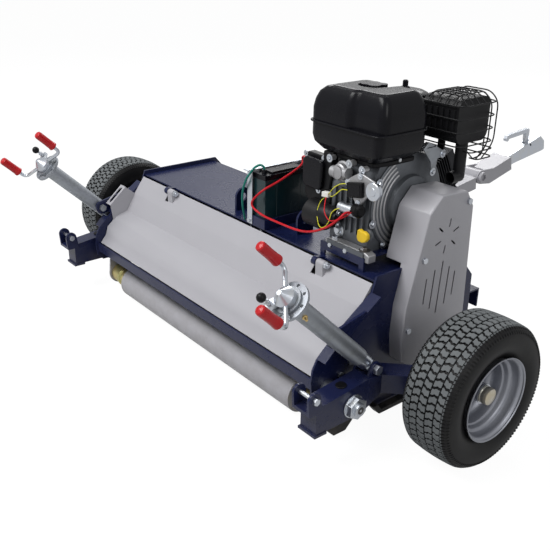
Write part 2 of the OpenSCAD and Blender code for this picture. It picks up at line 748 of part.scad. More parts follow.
// Electrical and oil parts on the engine's rear face
starter_y = -52;
starter_z = 530;
module starter_motor() {
    color(black) placed() {
        rod_x(304, block_x0 - seat, starter_y, starter_z, 80);
        rod_x(296, 304, starter_y, starter_z, 62);
    }
}
solenoid_y = -66;
solenoid_z = 584;
module solenoid() {
    color(zinc) placed() {
        rod_x(438, 478, solenoid_y, solenoid_z, 30);
        rod_x(478, 500, solenoid_y, solenoid_z, 34);
        box(450, 466, solenoid_y, block_y0 - 8 - seat, solenoid_z - 10, solenoid_z + 10);
    }
}
module ignition_module() {
    color(cast) placed() {
        difference() {
            box(448, 540, block_y0 - 24, block_y0 - 8 - seat, 608, 654);
            box(462, 512, block_y0 - 25, block_y0 - 20, 612, 648);
        }
        rod_y(block_y0 - 30, block_y0 - 24, 545, 640, 40);
        rod_y(block_y0 - 24, block_y0 - 8 - seat, 536, 640, 18);
    }
}
module oil_fittings() {
    color([0.9, 0.75, 0.1]) placed() {
        rod_y(block_y0 - 34, block_y0 - 8 - seat, 505, 517, 34);
        rod_y(block_y0 - 42, block_y0 - 34, 505, 517, 22);
        rod_y(block_y0 - 26, block_y0 - 8 - seat, 410, 500, 20);
    }
}

// Belt drive: cover, back plate, pulleys and belts
cover_line = [
    [-11, 174], [-20, 247], [-15, 338], [49, 598], [93, 642], [197, 636], [229, 588], [242, 261], [228, 150], [30, 140]
];
cover_bolts = [[-1, 270], [40, 470], [205, 606], [222, 200]];
module cover_shape(inset) offset(delta = -inset) polygon(cover_line);
upper_cut_z = deck_top + lip_h + 6;
cover_in = 548;
module vents(x0, x1) {
    for (k = [0:vent_count - 1])
        along_x(x0, x1) round_bar([74 + 20*k, 330 + 4*k], [74 + 20*k, 394 + 4*k], 4);
    for (a = [20:60:340]) along_x(x0, x1) translate([128, 520]) rotate(a) round_bar([28, 0], [48, 0], 5);
}
module belt_cover() {
    color(silver) placed() difference() {
        union() {
            along_x(plate_x + seat, cover_x) cover_shape(0);
            intersection() {
                along_x(cover_in, cover_x) cover_shape(0);
                box(0, 1000, -500, 500, upper_cut_z, 1000);
            }
        }
        along_x(plate_x - 10, cover_x - cover_t) cover_shape(cover_t);
        intersection() {
            along_x(cover_in - gap, plate_x + 1) cover_shape(cover_t);
            box(0, 1000, -500, 500, upper_cut_z + cover_t, 1000);
        }
        vents(cover_x - cover_t - gap, cover_x + gap);
        for (p = cover_bolts) rod_x(cover_x - cover_t - gap, cover_x + gap, p[0], p[1], bolt_d + 2*fit);
    }
}
module belt_back_plate() {
    color(black) placed() difference() {
        intersection() {
            along_x(cover_in + 1, cover_in + 4) cover_shape(cover_t + seat);
            box(0, 1000, -500, 500, upper_cut_z + cover_t + seat, 1000);
        }
        rod_x(cover_in - gap, cover_in + 6, crank_y, crank_z, 60);
    }
}
module grooved(d, w) difference() {
    cylinder(h = w, d = d + 8);
    for (k = [0, 1]) translate([0, 0, w*(0.25 + 0.5*k)]) rotate_extrude()
        polygon([[d/2 - 10, -3], [d/2 + 8, -6], [d/2 + 8, 6], [d/2 - 10, 3]]);
}
module engine_pulley() {
    color(cast) placed() {
        translate([pulley_in, crank_y, crank_z]) rotate([0, 90, 0]) grooved(engine_pulley_d, pulley_w);
        rod_x(pulley_in - 6, pulley_in, crank_y, crank_z, 50);
        rod_x(block_x1 + 11 - 40, pulley_in - 6, crank_y, crank_z, output_d);
    }
}
module rotor_pulley() {
    color(cast) placed() difference() {
        translate([pulley_in, rotor_y, rotor_z]) rotate([0, 90, 0]) grooved(rotor_pulley_d, pulley_w);
        rod_x(pulley_in - gap, pulley_in + pulley_w + gap, rotor_y, rotor_z, shaft_d - 10 + 2*fit);
    }
}
module belt_loop(r_top, r_bottom) hull() {
    translate([crank_y, crank_z]) circle(r_top);
    translate([rotor_y, rotor_z]) circle(r_bottom);
}
belt_t = 8;
module drive_belts() {
    color(black) placed() for (k = [0, 1])
        along_x(pulley_in + pulley_w*(0.25 + 0.5*k) - 3, pulley_in + pulley_w*(0.25 + 0.5*k) + 3) difference() {
            belt_loop(engine_pulley_d/2 - 9 + belt_t, rotor_pulley_d/2 - 9 + belt_t);
            belt_loop(engine_pulley_d/2 - 9, rotor_pulley_d/2 - 9);
        }
}

// Rotor: tube with stepped shaft ends, lugs and Y-shaped flails
rotor_half = mid_x - 18;
rotor_wall = 8;
roller_wall = 5;
end_disc_t = 10;
bearing_t = 26;
module hollow_roll(half, y, z, d, wall) difference() {
    rod_x(-half, half, y, z, d);
    rod_x(-half + end_disc_t, half - end_disc_t, y, z, d - 2*wall);
    for (a = [45, 225]) translate([0, y, z]) rotate([a, 0, 0])
        rod_x(-half - gap, half + gap, 0, d/2 - wall - 9, 8);
}
module rotor_drum() {
    color(black) placed() {
        hollow_roll(rotor_half, rotor_y, rotor_z, rotor_d, rotor_wall);
        rod_x(-plate_x - bearing_t - 3, -rotor_half + 1, rotor_y, rotor_z, shaft_d);
        rod_x(rotor_half - 1, plate_x - 1, rotor_y, rotor_z, shaft_d);
        rod_x(plate_x - 2, pulley_in + pulley_w + 6, rotor_y, rotor_z, shaft_d - 10);
        for (k = [0:flail_rows - 1]) flail_place(k) for (dx = [-14, 8]) difference() {
            translate([dx, -14, rotor_d/2 - 6]) cube([6, 28, 46]);
            rod_x(dx - 1, dx + 7, 0, flail_pin_r, flail_pin_d + 2*fit);
        }
    }
}
module flail_place(k)
    translate([-rotor_half + 60 + k*(2*rotor_half - 120)/(flail_rows - 1), rotor_y, rotor_z])
        rotate([k*150, 0, 0]) children();
flail_pin_r = rotor_d/2 + 26;
flail_pin_d = 10;
module flails() {
    color(zinc) placed() for (k = [0:flail_rows - 1]) flail_place(k) {
        rod_x(-18, 18, 0, flail_pin_r, flail_pin_d);
        difference() {
            union() {
                translate([-7.5, -13, flail_pin_r - 9]) cube([15, 26, 27]);
                for (s = [0, 1]) mirror([s, 0, 0])
                    translate([0, -13, flail_pin_r + 17]) rotate([0, 24, 0]) cube([6, 26, flail_r - flail_pin_r - 26]);
            }
            rod_x(-8, 8, 0, flail_pin_r, flail_pin_d + 2*fit);
        }
    }
}
module rotor_bearings() {
    color(black) placed() {
        both_sides() difference() {
            rod_x(mid_x - 12, mid_x - seat, rotor_y, rotor_z, 120);
            rod_x(mid_x - 14, mid_x + 2, rotor_y, rotor_z, shaft_d + 2*fit);
        }
        difference() {
            rod_x(-plate_x - bearing_t, -plate_x - seat, rotor_y, rotor_z, 112);
            rod_x(-plate_x - bearing_t - 1, -plate_x, rotor_y, rotor_z, shaft_d + 2*fit);
        }
    }
}

// Roller: barrel, journals and the two bearing housings
module roller() {
    color(silver) placed() {
        hollow_roll(roller_len/2, roller_y, roller_z, roller_d, roller_wall);
        both_sides() rod_x(roller_len/2 - 1, hanger_x + hanger_t, roller_y, roller_z, journal_d);
    }
}
housing_d = 72;
module roller_bearings() {
    color([0.75, 0.68, 0.35]) placed() both_sides() difference() {
        union() {
            rod_x(roller_len/2 + 24, hanger_x - seat, roller_y, roller_z, housing_d);
            rod_x(roller_len/2 + 52, roller_len/2 + 62, roller_y, roller_z, housing_d + 8);
        }
        rod_x(roller_len/2, hanger_x, roller_y, roller_z, journal_d + 2*fit);
    }
}

// Hood: folded sheet with end flanges, hinge knuckles and the slotted strip at its left end
hood_half = mid_x - hood_gap;
knuckle_x = [-397, 397];
knuckle_d = 22;
bracket_line = [[-133, 357], [-173, 391], [-240, 332], [-233, 278], [-172, 296]];
lug_x0 = -10;
lug_x1 = 6;
knuckle_x0 = 8;
knuckle_x1 = 38;
module hood() {
    color(silver) placed() difference() {
        union() {
            along_x(-hood_half + 1, hood_half - 1) polygon(band(hood_line, hood_t));
            both_sides() along_x(hood_half - hood_t, hood_half) polygon(band(hood_line, 24));
            for (x = knuckle_x) along_x(x + knuckle_x0, x + knuckle_x1) hull() {
                translate(hinge) circle(d = knuckle_d);
                polygon([[-100, 410], [-120, 383], [-116, 384], [-97, 409]]);
            }
            along_x(-hood_half, -hood_half + hood_t) polygon(bracket_line);
            slotted_strip();
        }
        for (x = knuckle_x) {
            rod_x(x - 30, x + 50, hinge[0], hinge[1], hinge_bolt_d + 2*fit);
            box(x + lug_x0 - 2, x + lug_x1 + 1, -126, -80, 380, 430);
        }
    }
}
strip_line = [[-173, 391], [-240, 332]];
strip_lean = atan2(strip_line[0][1] - strip_line[1][1], strip_line[0][0] - strip_line[1][0]);
module slotted_strip() {
    difference() {
        along_x(-hood_half - strip_w + hood_t, -hood_half + hood_t) polygon(band(strip_line, -hood_t));
        translate([-hood_half - strip_w/2 + hood_t, strip_line[1][0], strip_line[1][1]]) rotate([strip_lean, 0, 0]) hull()
            for (y = [14, norm(strip_line[0] - strip_line[1]) - 14])
                translate([0, y, -20]) cylinder(h = 40, d = 10, $fn = 24);
    }
}
hinge_bolt_d = 12;
module hood_hinge_bolts() {
    color(zinc) placed() for (x = knuckle_x) {
        rod_x(x + lug_x0 - seat, x + knuckle_x1 + 14, hinge[0], hinge[1], hinge_bolt_d);
        hex_x(x + lug_x0 - 8, x + lug_x0 - seat, hinge[0], hinge[1], 19);
        hex_x(x + knuckle_x1 + seat, x + knuckle_x1 + 10, hinge[0], hinge[1], 19);
    }
}

// Wheel arm: main tube, angled tube, stub axle plate and the ears for the bolts
module arm(s) {
    color(navy) placed() on_side(s) {
        difference() {
            union() {
                along_x(arm_in, arm_out) polygon([[arm_end_y, 112], [arm_end_y, 190], [-330, 196],
                    [-190, 212], [-146, 206], [-146, 150], [-200, 122], [-250, 113]]);
                translate([0, 0, 150]) linear_extrude(56)
                    polygon([[arm_in, -203], [arm_in, -114], [stub_plate_x, stub_plate_x - 764], [stub_plate_x, stub_plate_x - 853]]);
                along_x(stub_plate_x, stub_plate_x + stub_plate_t) hull() {
                    translate([0, axle_z]) circle(42);
                    translate([-57, 150]) square([92, 20]);
                }
                box(arm_in - 3, arm_out + 3, arm_end_y - 6, -340, 106, 113.5);
                box(arm_in - 3, arm_out + 3, -402, arm_end_y + 2, 178, 188);
                for (x = [arm_in - 3, arm_out - 5]) along_x(x, x + 8) hull() {
                    translate(cross_bolt) circle(20);
                    translate([-402, 180]) square([42, 12]);
                }
                for (x = [ear_in, ear_out]) along_x(x, x + ear_t) hull() {
                    translate(eye) circle(ear_r);
                    translate([eye[0] - 30, 190]) square([60, 12]);
                }
                rod_x(stub_plate_x + 1, track/2 + 22, 0, axle_z, stub_d);
                rod_x(stub_plate_x + 1, stub_plate_x + stub_plate_t + 6, 0, axle_z, stub_d + 14);
            }
            rod_x(arm_in - gap, arm_out + gap, pivot[0], pivot[1], pivot_d + 2*fit);
            rod_x(arm_in - 10, arm_out + 10, cross_bolt[0], cross_bolt[1], ear_bolt_d - 4 + 2*fit);
            rod_x(ear_in - 5, ear_out + ear_t + 5, eye[0], eye[1], ear_bolt_d + 2*fit);
            translate([0, eye[0], eye[1]]) rotate([0, 90, 0]) translate([0, 0, ear_in + ear_t]) cylinder(h = slide_d + 2*gap, d = slide_d + 8);
        }
    }
}
module arm_left() arm(-1);
module arm_right() arm(1);

module pivot_nuts() {
    color(zinc) placed() both_sides() {
        rod_x(plate_x, arm_out + pivot_washer_t + pivot_nut_t + pivot_end, pivot[0], pivot[1], pivot_d);
        rod_x(plate_x, arm_in - seat, pivot[0], pivot[1], pivot_d + 26);
        rod_x(arm_out + seat, arm_out + pivot_washer_t, pivot[0], pivot[1], pivot_d + 30);
        hex_x(arm_out + pivot_washer_t, arm_out + pivot_washer_t + pivot_nut_t, pivot[0], pivot[1], pivot_d + 18);
    }
}
module ear_bolt(p, d, x0, x1) {
    rod_x(x0 - 2, x1 + 2, p[0], p[1], d);
    hex_x(x0 - 0.6*d, x0 - seat, p[0], p[1], 1.5*d);
    hex_x(x1 + seat, x1 + 0.8*d, p[0], p[1], 1.5*d);
}
module arm_bolts(s) {
    color(zinc) placed() on_side(s) {
        ear_bolt(cross_bolt, ear_bolt_d - 4, arm_in - 3, arm_out + 3);
        ear_bolt(eye, ear_bolt_d, ear_in, ear_out + ear_t);
    }
}
module arm_bolts_left() arm_bolts(-1);
module arm_bolts_right() arm_bolts(1);

// Jack: outer tube with index flange and trunnion, inner tube with nut and eye, crank with screw
module jack_frame(s) placed() on_side(s) translate([jack_x, jack_y, jack_z]) rotate([jack_tilt, 0, 0]) children();
index_r = 41;
ring_d = 70;
ring_h = 8;
slide_top = 120;
nut_len = 30;
module jack_tube(s) {
    color(zinc) jack_frame(s) {
        difference() {
            union() {
                translate([0, 0, -tube_len]) cylinder(h = tube_len, d = tube_d);
                translate([0, 0, -flange_t/2]) cylinder(h = flange_t, d = flange_d);
                translate([0, 0, flange_t/2]) cylinder(h = ring_h, d = ring_d);
                translate([-tube_d/2 - 3, 0, -trunnion_at]) rotate([0, 90, 0]) cylinder(h = 20, d = 38);
            }
            translate([0, 0, -tube_len - gap]) cylinder(h = tube_len - 20, d = slide_d + 2*fit);
            translate([0, 0, -40]) cylinder(h = 80, d = screw_d + 2*fit);
            for (k = [0:index_holes - 1]) rotate(crank_turn(s) + plunger_turn + 360*k/index_holes)
                translate([index_r, 0, -20]) cylinder(h = 40, d = 8.4);
        }
        translate([-tube_d/2 - 4 - ear_plate_t - 4, 0, -trunnion_at]) rotate([0, 90, 0]) cylinder(h = ear_plate_t + 6, d = ear_bolt_d);
        translate([-tube_d/2 - 4 - ear_plate_t - 12, 0, -trunnion_at]) rotate([0, 90, 0]) cylinder(h = 11, d = 26, $fn = 6);
    }
}
module jack_tube_left() jack_tube(-1);
module jack_tube_right() jack_tube(1);
module jack_slide(s) {
    color(zinc) jack_frame(s) difference() {
        union() {
            translate([0, 0, -eye_at + 18]) cylinder(h = eye_at - 18 - slide_top, d = slide_d);
            translate([-slide_d/2, 0, -eye_at]) rotate([0, 90, 0]) cylinder(h = slide_d, d = 36);
            translate([-slide_d/2, -14, -eye_at]) cube([slide_d, 28, 20]);
        }
        translate([0, 0, -eye_at + 60]) cylinder(h = eye_at - 60 - slide_top - nut_len, d = 32);
        translate([0, 0, -slide_top - nut_len - gap]) cylinder(h = nut_len + 2*gap, d = screw_d + 2*fit);
        translate([-slide_d, 0, -eye_at]) rotate([0, 90, 0]) cylinder(h = 2*slide_d, d = ear_bolt_d + 2*gap);
    }
}
module jack_slide_left() jack_slide(-1);
module jack_slide_right() jack_slide(1);

crank_z0 = flange_t/2 + ring_h + seat;
rod_z_at = crank_z0 + 9;
elbow_r = 16;
crank_turn_right = 132;
crank_turn_left = -54;
function crank_turn(s) = s > 0 ? crank_turn_right : crank_turn_left;
plunger_turn = 98;
module crank_rod() {
    translate([0, 0, rod_z_at]) rotate([0, 90, 0]) cylinder(h = crank_reach - elbow_r, d = rod_d);
    translate([crank_reach - elbow_r, 0, rod_z_at + elbow_r]) rotate([90, 0, 0]) rotate([0, 0, -90])
        rotate_extrude(angle = 90) translate([elbow_r, 0]) circle(d = rod_d);
    translate([crank_reach, 0, rod_z_at + elbow_r]) cylinder(h = 124 - rod_z_at - elbow_r, d = rod_d);
}
module crank(s) {
    color(zinc) jack_frame(s) rotate(crank_turn(s)) difference() {
        union() {
            translate([0, 0, crank_z0]) cylinder(h = 16, d = 52);
            translate([0, 0, crank_z0 + 16]) cylinder(h = 20, d1 = 55, d2 = 14);
            for (k = [0, 1]) rotate(180*k) crank_rod();
            rotate(plunger_turn) translate([0, -11, crank_z0 + 4]) cube([index_r + 10, 22, 12]);
            translate([0, 0, -265]) cylinder(h = 265 + crank_z0, d = screw_d);
        }
        rotate(plunger_turn) translate([index_r, 0, 0]) cylinder(h = 60, d = 8 + 2*fit);
    }
}
module crank_left() crank(-1);
module crank_right() crank(1);
grip_z0 = 52;
module grips(s) {
    color("red") jack_frame(s) rotate(crank_turn(s)) for (k = [0, 1]) rotate(180*k)
        translate([crank_reach, 0, grip_z0]) difference() {
            cylinder(h = grip_len, d = grip_d);
            translate([0, 0, -gap]) cylinder(h = 124 + seat - grip_z0 + gap, d = rod_d + 2*fit);
        }
}
module grips_left() grips(-1);
module grips_right() grips(1);
module plunger(s) {
    color(black) jack_frame(s) rotate(crank_turn(s) + plunger_turn) translate([index_r, 0, 0]) {
        translate([0, 0, flange_t/2 + seat]) cylinder(h = 46, d = 8);
        translate([0, 0, crank_z0 + 16 + seat]) cylinder(h = 12, d = 14);
        translate([0, 0, 60]) sphere(d = 24);
    }
}
module plunger_left() plunger(-1);
module plunger_right() plunger(1);

// Wheels: tyre with rounded shoulders, and a dished steel rim on its hub
bead = rim_d/2 - 8;
module wheel_frame(s) placed() on_side(s) translate([track/2, 0, axle_z]) rotate([0, 90, 0]) children();
module tyre(s) {
    half = tyre_w/2;
    top = tyre_d/2;
    color(black) wheel_frame(s) rotate_extrude() difference() {
        polygon([[bead, -half + 24], [bead + 14, -half + 6], [bead + 38, -half], [top - 34, -half + 2],
            [top - 12, -half + 10], [top - 3, -half + 26], [top, 0], [top - 3, half - 26], [top - 12, half - 10],
            [top - 34, half - 2], [bead + 38, half], [bead + 14, half - 6], [bead, half - 24]]);
        polygon([[bead - 1, -half + 34], [bead + 20, -half + 18], [top - 30, -half + 16], [top - 16, 0],
            [top - 30, half - 16], [bead + 20, half - 18], [bead - 1, half - 34]]);
    }
}
module tyre_left() tyre(-1);
module tyre_right() tyre(1);
rim_t = 3;
hub_d = 52;
module rim(s) {
    half = tyre_w/2;
    r = bead - seat;
    color(silver) wheel_frame(s) {
        rotate_extrude() polygon(band([[r + 10, -half + 2], [r, -half + 14], [r, -half + 32], [r - 22, -half + 42],
            [r - 22, half - 46], [r, half - 32], [r, half - 14], [r + 10, half - 2]], rim_t));
        difference() {
            union() {
                translate([0, 0, -34]) cylinder(h = 68, d = hub_d);
                translate([0, 0, -20]) cylinder(h = 5, r = r - 21);
                translate([0, 0, 34]) cylinder(h = 8, d = hub_d - 4);
            }
            translate([0, 0, -35]) cylinder(h = 62, d = stub_d + 2*fit);
        }
    }
}
module rim_left() rim(-1);
module rim_right() rim(1);

// Cables: a round tube swept along its route
function ring(c, d, r, n) =
    let (side = unit(cross(d, abs(d[2]) > 0.9 ? [1, 0, 0] : [0, 0, 1])), up = cross(side, d))
    [for (k = [0:n - 1]) c + r*cos(360*k/n)*side + r*sin(360*k/n)*up];
function spline(p, i, t) =
    let (a = p[max(i - 1, 0)], b = p[i], c = p[i + 1], d = p[min(i + 2, len(p) - 1)])
    0.5*((2*b) + (c - a)*t + (2*a - 5*b + 4*c - d)*t*t + (3*b - a - 3*c + d)*t*t*t);
function path(p, steps) = concat([for (i = [0:len(p) - 2]) for (k = [0:steps - 1]) spline(p, i, k/steps)], [p[len(p) - 1]]);
module swept(route, dia, sides, steps) {
    pts = path(route, steps);
    n = len(pts);
    rings = [for (i = [0:n - 1]) ring(pts[i], unit(pts[min(i + 1, n - 1)] - pts[max(i - 1, 0)]), dia/2, sides)];
    polyhedron(
        points = [for (r = rings) for (p = r) p],
        faces = concat(
            [[for (k = [0:sides - 1]) k]],
            [for (i = [0:n - 2]) for (k = [0:sides - 1])
                [i*sides + k, (i + 1)*sides + k, (i + 1)*sides + (k + 1)%sides, i*sides + (k + 1)%sides]],
            [[for (k = [sides - 1:-1:0]) (n - 1)*sides + k]]),
        convexity = 8);
}
cable_d = 7;
battery_route = [[104, -71, 610.3], [104, -71, 622], [88, -96, 612], [58, -106, 572], [34, -102, 524], [24, -94, 476], [18, -80, 440], [18, -78, 425.3]];
starter_route = [
    [104, 82, 610.3], [104, 82, 624], [132, 66, 632], [150, 30, 612], [143, -38, 580], [128, -98, 552], [92, -110, 506],
    [130, -106, 482], [220, -104, 478], [310, -104, 482], [375, -108, 500], [436, -112, 532], [480, -112, 568], [489, -100, 584],
    [489, -83.3, 584]
];
module battery_cable() { color([0.1, 0.5, 0.3]) placed() swept(battery_route, cable_d, 8, 6); }
module starter_cable() { color("red") placed() swept(starter_route, cable_d, 8, 6); }

deck_shell();
frame_bolts();
roller_hangers();
skid_runners();
engine_mount();
drawbar();
hitch_sleeve();
coupling_body();
coupling_lever();
battery_tray();
battery_case();
battery_lid();
battery_strap();
crankcase();
cylinder_head();
blower_housing();
fuel_tank();
fuel_cap();
air_cleaner();
control_box();
muffler();
muffler_guard();
exhaust_pipe();
starter_motor();
solenoid();
ignition_module();
oil_fittings();
belt_cover();
belt_back_plate();
engine_pulley();
rotor_pulley();
drive_belts();
rotor_drum();
flails();
rotor_bearings();
roller();
roller_bearings();
hood();
hood_hinge_bolts();
arm_left();
arm_right();
pivot_nuts();
arm_bolts_left();
arm_bolts_right();
jack_tube_left();
jack_tube_right();
jack_slide_left();
jack_slide_right();
crank_left();
crank_right();
grips_left();
grips_right();
plunger_left();
plunger_right();
tyre_left();
tyre_right();
rim_left();
rim_right();
battery_cable();
starter_cable();
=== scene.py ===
# %% [markdown]
# # A towed flail mower, dressed in Blender
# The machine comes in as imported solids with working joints. Each cell below takes one
# piece or finish, says what it is on the real machine, and adds what the solids leave out:
# rounded edges, tread, welds, wires and paint. All pieces keep the frame of the solids.

# %% Load the frame
import json
import math

import bmesh
import bpy
from mathutils import Matrix, Vector

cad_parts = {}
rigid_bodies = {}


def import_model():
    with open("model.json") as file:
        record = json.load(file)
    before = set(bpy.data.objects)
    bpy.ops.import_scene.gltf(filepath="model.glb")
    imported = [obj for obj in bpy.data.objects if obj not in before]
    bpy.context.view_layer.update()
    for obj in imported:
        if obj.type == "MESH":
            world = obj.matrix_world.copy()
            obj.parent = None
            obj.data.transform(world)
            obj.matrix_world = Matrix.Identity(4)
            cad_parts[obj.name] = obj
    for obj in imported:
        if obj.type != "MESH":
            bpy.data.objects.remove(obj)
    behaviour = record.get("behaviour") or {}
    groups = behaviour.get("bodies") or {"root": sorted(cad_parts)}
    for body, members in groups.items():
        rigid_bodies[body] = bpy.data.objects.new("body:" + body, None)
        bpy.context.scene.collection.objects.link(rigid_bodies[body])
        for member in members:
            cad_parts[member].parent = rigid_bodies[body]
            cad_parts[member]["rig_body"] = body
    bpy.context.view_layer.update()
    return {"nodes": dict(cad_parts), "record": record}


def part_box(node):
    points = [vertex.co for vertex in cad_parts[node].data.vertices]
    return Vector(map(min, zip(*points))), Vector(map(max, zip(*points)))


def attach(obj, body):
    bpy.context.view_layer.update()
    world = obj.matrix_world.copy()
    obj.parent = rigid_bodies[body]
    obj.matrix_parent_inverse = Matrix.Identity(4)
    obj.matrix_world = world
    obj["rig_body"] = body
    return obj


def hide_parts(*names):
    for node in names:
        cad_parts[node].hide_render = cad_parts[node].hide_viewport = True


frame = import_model()
scene = bpy.context.scene
hub_low, hub_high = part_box("tyre_right")
ORIGIN_Y = -500.0 * (hub_low[1] + hub_high[1])

# %% [markdown]
# ## The camera
# The photograph was taken from behind and to the right, from a little above the tank.
# Its place, lens and roll were worked out from the wheels, the deck and the drawbar, so a
# point of the model lands on the same pixel as in the photograph.


# %% Camera
def pt(x, y, z):
    """A point in millimetres, measured from the wheel axle and the ground, as a frame point in metres."""
    return Vector((x, y - ORIGIN_Y, z)) / 1000.0


def aim(azimuth, elevation, roll):
    """The turn of a camera that looks at the machine from that azimuth and elevation, in degrees."""
    az, el, ro = (math.radians(v) for v in (azimuth, elevation, roll))
    back = Vector((math.sin(az) * math.cos(el), -math.cos(az) * math.cos(el), math.sin(el)))
    right = Vector((math.cos(az), math.sin(az), 0.0))
    up = back.cross(right)
    turned = right * math.cos(ro) + up * math.sin(ro)
    level = up * math.cos(ro) - right * math.sin(ro)
    return Matrix((turned, level, back)).transposed()


SENSOR_WIDTH, LENS = 36.0, 50.22
CAMERA_PLACE = (1879.32, -1468.88, 1270.26)
AZIMUTH, ELEVATION, ROLL = 50.826, 24.12, 0.988
lens_data = bpy.data.cameras.new("photo_camera")
lens_data.sensor_width = SENSOR_WIDTH
lens_data.lens = LENS
lens_data.clip_end = 60.0
camera = bpy.data.objects.new("photo_camera", lens_data)
camera.matrix_world = Matrix.Translation(pt(*CAMERA_PLACE)) @ aim(AZIMUTH, ELEVATION, ROLL).to_4x4()
scene.collection.objects.link(camera)
scene.camera = camera
print("camera at", tuple(round(v, 3) for v in camera.location), "lens", lens_data.lens)

# %% [markdown]
# ## Writing shader maths
# A finish is easier to read as a formula than as a tangle of links. `Signal` wraps one
# output socket, and adding, multiplying or comparing signals adds the Math nodes. `Finish`
# makes a material and any other node, with its inputs by name.


# %% Signals and finishes
class Signal:
    """One output socket that takes part in arithmetic."""

    def __init__(self, tree, socket):
        self.tree, self.socket = tree, socket

    def maths(self, operation, *others, first=None):
        node = self.tree.nodes.new("ShaderNodeMath")
        node.operation = operation
        values = [self if first is None else first, *others]
        for slot, value in zip(node.inputs, values):
            put(self.tree, slot, value)
        return Signal(self.tree, node.outputs[0])

    def __add__(self, other):
        return self.maths("ADD", other)

    def __sub__(self, other):
        return self.maths("SUBTRACT", other)

    def __mul__(self, other):
        return self.maths("MULTIPLY", other)

    def __truediv__(self, other):
        return self.maths("DIVIDE", other)

    def __pow__(self, other):
        return self.maths("POWER", other)

    def __rsub__(self, other):
        return self.maths("SUBTRACT", self, first=other)

    def above(self, edge, width=0.05):
        """0 below the edge, 1 above it, with a soft step as wide as width."""
        return ((self - (edge - width / 2)) / width).clipped()

    def clipped(self):
        return self.maths("MINIMUM", 1.0).maths("MAXIMUM", 0.0)

    __radd__ = __add__
    __rmul__ = __mul__


def put(tree, slot, value):
    """Links a signal to a socket, or writes a plain value on it."""
    if isinstance(value, Signal):
        tree.links.new(value.socket, slot)
    elif hasattr(slot.default_value, "__len__") and len(slot.default_value) == 4 and len(value) == 3:
        slot.default_value = (*value, 1.0)
    else:
        slot.default_value = value


class Finish:
    """A material with one Principled shader, and helpers for the nodes that feed it."""

    def __init__(self, name, **plain):
        self.material = bpy.data.materials.new(name)
        self.material.use_nodes = True
        self.tree = self.material.node_tree
        self.shader = self.tree.nodes["Principled BSDF"]
        self.place = self.node("ShaderNodeTexCoord", out="Object")
        self.set(**plain)

    def node(self, kind, out=0, **inputs):
        """Any node, its sockets by name, with underscores for spaces."""
        made = self.tree.nodes.new(kind)
        for key, value in inputs.items():
            put(self.tree, made.inputs[key.replace("_", " ")], value)
        return Signal(self.tree, made.outputs[out])

    def set(self, **inputs):
        for key, value in inputs.items():
            put(self.tree, self.shader.inputs[key.replace("_", " ")], value)
        return self

    def noise(self, scale, detail=3.0, rough=0.5):
        """Cloudy noise; scale is patches per metre."""
        return self.node("ShaderNodeTexNoise", Vector=self.place, Scale=scale, Detail=detail, Roughness=rough)

    def cells(self, scale):
        """Distance to the nearest of scattered points, for grains and specks."""
        return self.node("ShaderNodeTexVoronoi", Vector=self.place, Scale=scale)

    def split(self):
        """The three coordinates of a point, in metres."""
        made = self.tree.nodes.new("ShaderNodeSeparateXYZ")
        put(self.tree, made.inputs[0], self.place)
        return [Signal(self.tree, out) for out in made.outputs]

    def blend(self, amount, a, b):
        """Colour a where amount is 0 and b where it is 1."""
        made = self.tree.nodes.new("ShaderNodeMix")
        made.data_type = "RGBA"
        put(self.tree, made.inputs["Factor"], amount)
        for slot, value in zip((made.inputs[6], made.inputs[7]), (a, b)):
            put(self.tree, slot, value)
        return Signal(self.tree, made.outputs[2])

    def relief(self, height, depth, strength):
        """A bump map of that depth in metres."""
        return self.node("ShaderNodeBump", Strength=strength, Distance=depth, Height=height)


print("shader helpers ready")

# %% [markdown]
# ## Powder coat and metal
# The deck, arms and engine mount carry a glossy dark blue powder coat. The hood, belt cover
# and drawbar are a silver-grey one, which is smoother than it looks: a faint orange peel
# breaks up the reflections. Bolts, jacks and cranks are zinc plated, with a cloudy, slightly
# yellow passivation. Each finish is one small formula over noise in object space, so it stays
# put when a joint moves.


# %% Paints, metals and plastics
GRIME_TOP = 0.22


def powder_coat(name, colour, rough, coat, grain=260.0, spread=0.06, specular=0.5):
    """Paint that varies by spread in colour, with a faint orange peel and some grime low down."""
    paint = Finish(name, Metallic=0.0, Coat_Roughness=0.12, Coat_Weight=coat, Specular_IOR_Level=specular)
    cloud = paint.noise(9.0, 4.0)
    dark = tuple(c * (1 - spread) for c in colour)
    pale = tuple(min(1.0, c * (1 + spread)) for c in colour)
    height = paint.split()[2]
    grime = (1 - (height / GRIME_TOP).clipped()) * paint.noise(22.0, 6.0, 0.65).above(0.52, 0.3) * 0.35
    paint.set(Base_Color=paint.blend(grime, paint.blend(cloud, dark, pale), (0.16, 0.14, 0.12)))
    paint.set(Roughness=(cloud * 0.1 + rough + grime * 0.3).clipped())
    paint.set(Normal=paint.relief(paint.noise(grain, 2.0), 0.00005, 0.5))
    return paint.material


def plated(name, colour, rough, cloudiness=0.12, tint=(0.62, 0.58, 0.44), tinted=0.25):
    """Plated or bare metal, clouded with a second colour."""
    metal = Finish(name, Metallic=1.0)
    cloud = metal.noise(34.0, 5.0, 0.6)
    metal.set(Base_Color=metal.blend(cloud.above(0.6, 0.25) * tinted, colour, tint))
    metal.set(Roughness=(cloud * cloudiness + rough).clipped())
    metal.set(Normal=metal.relief(metal.noise(420.0, 2.0), 0.00004, 0.35))
    return metal.material


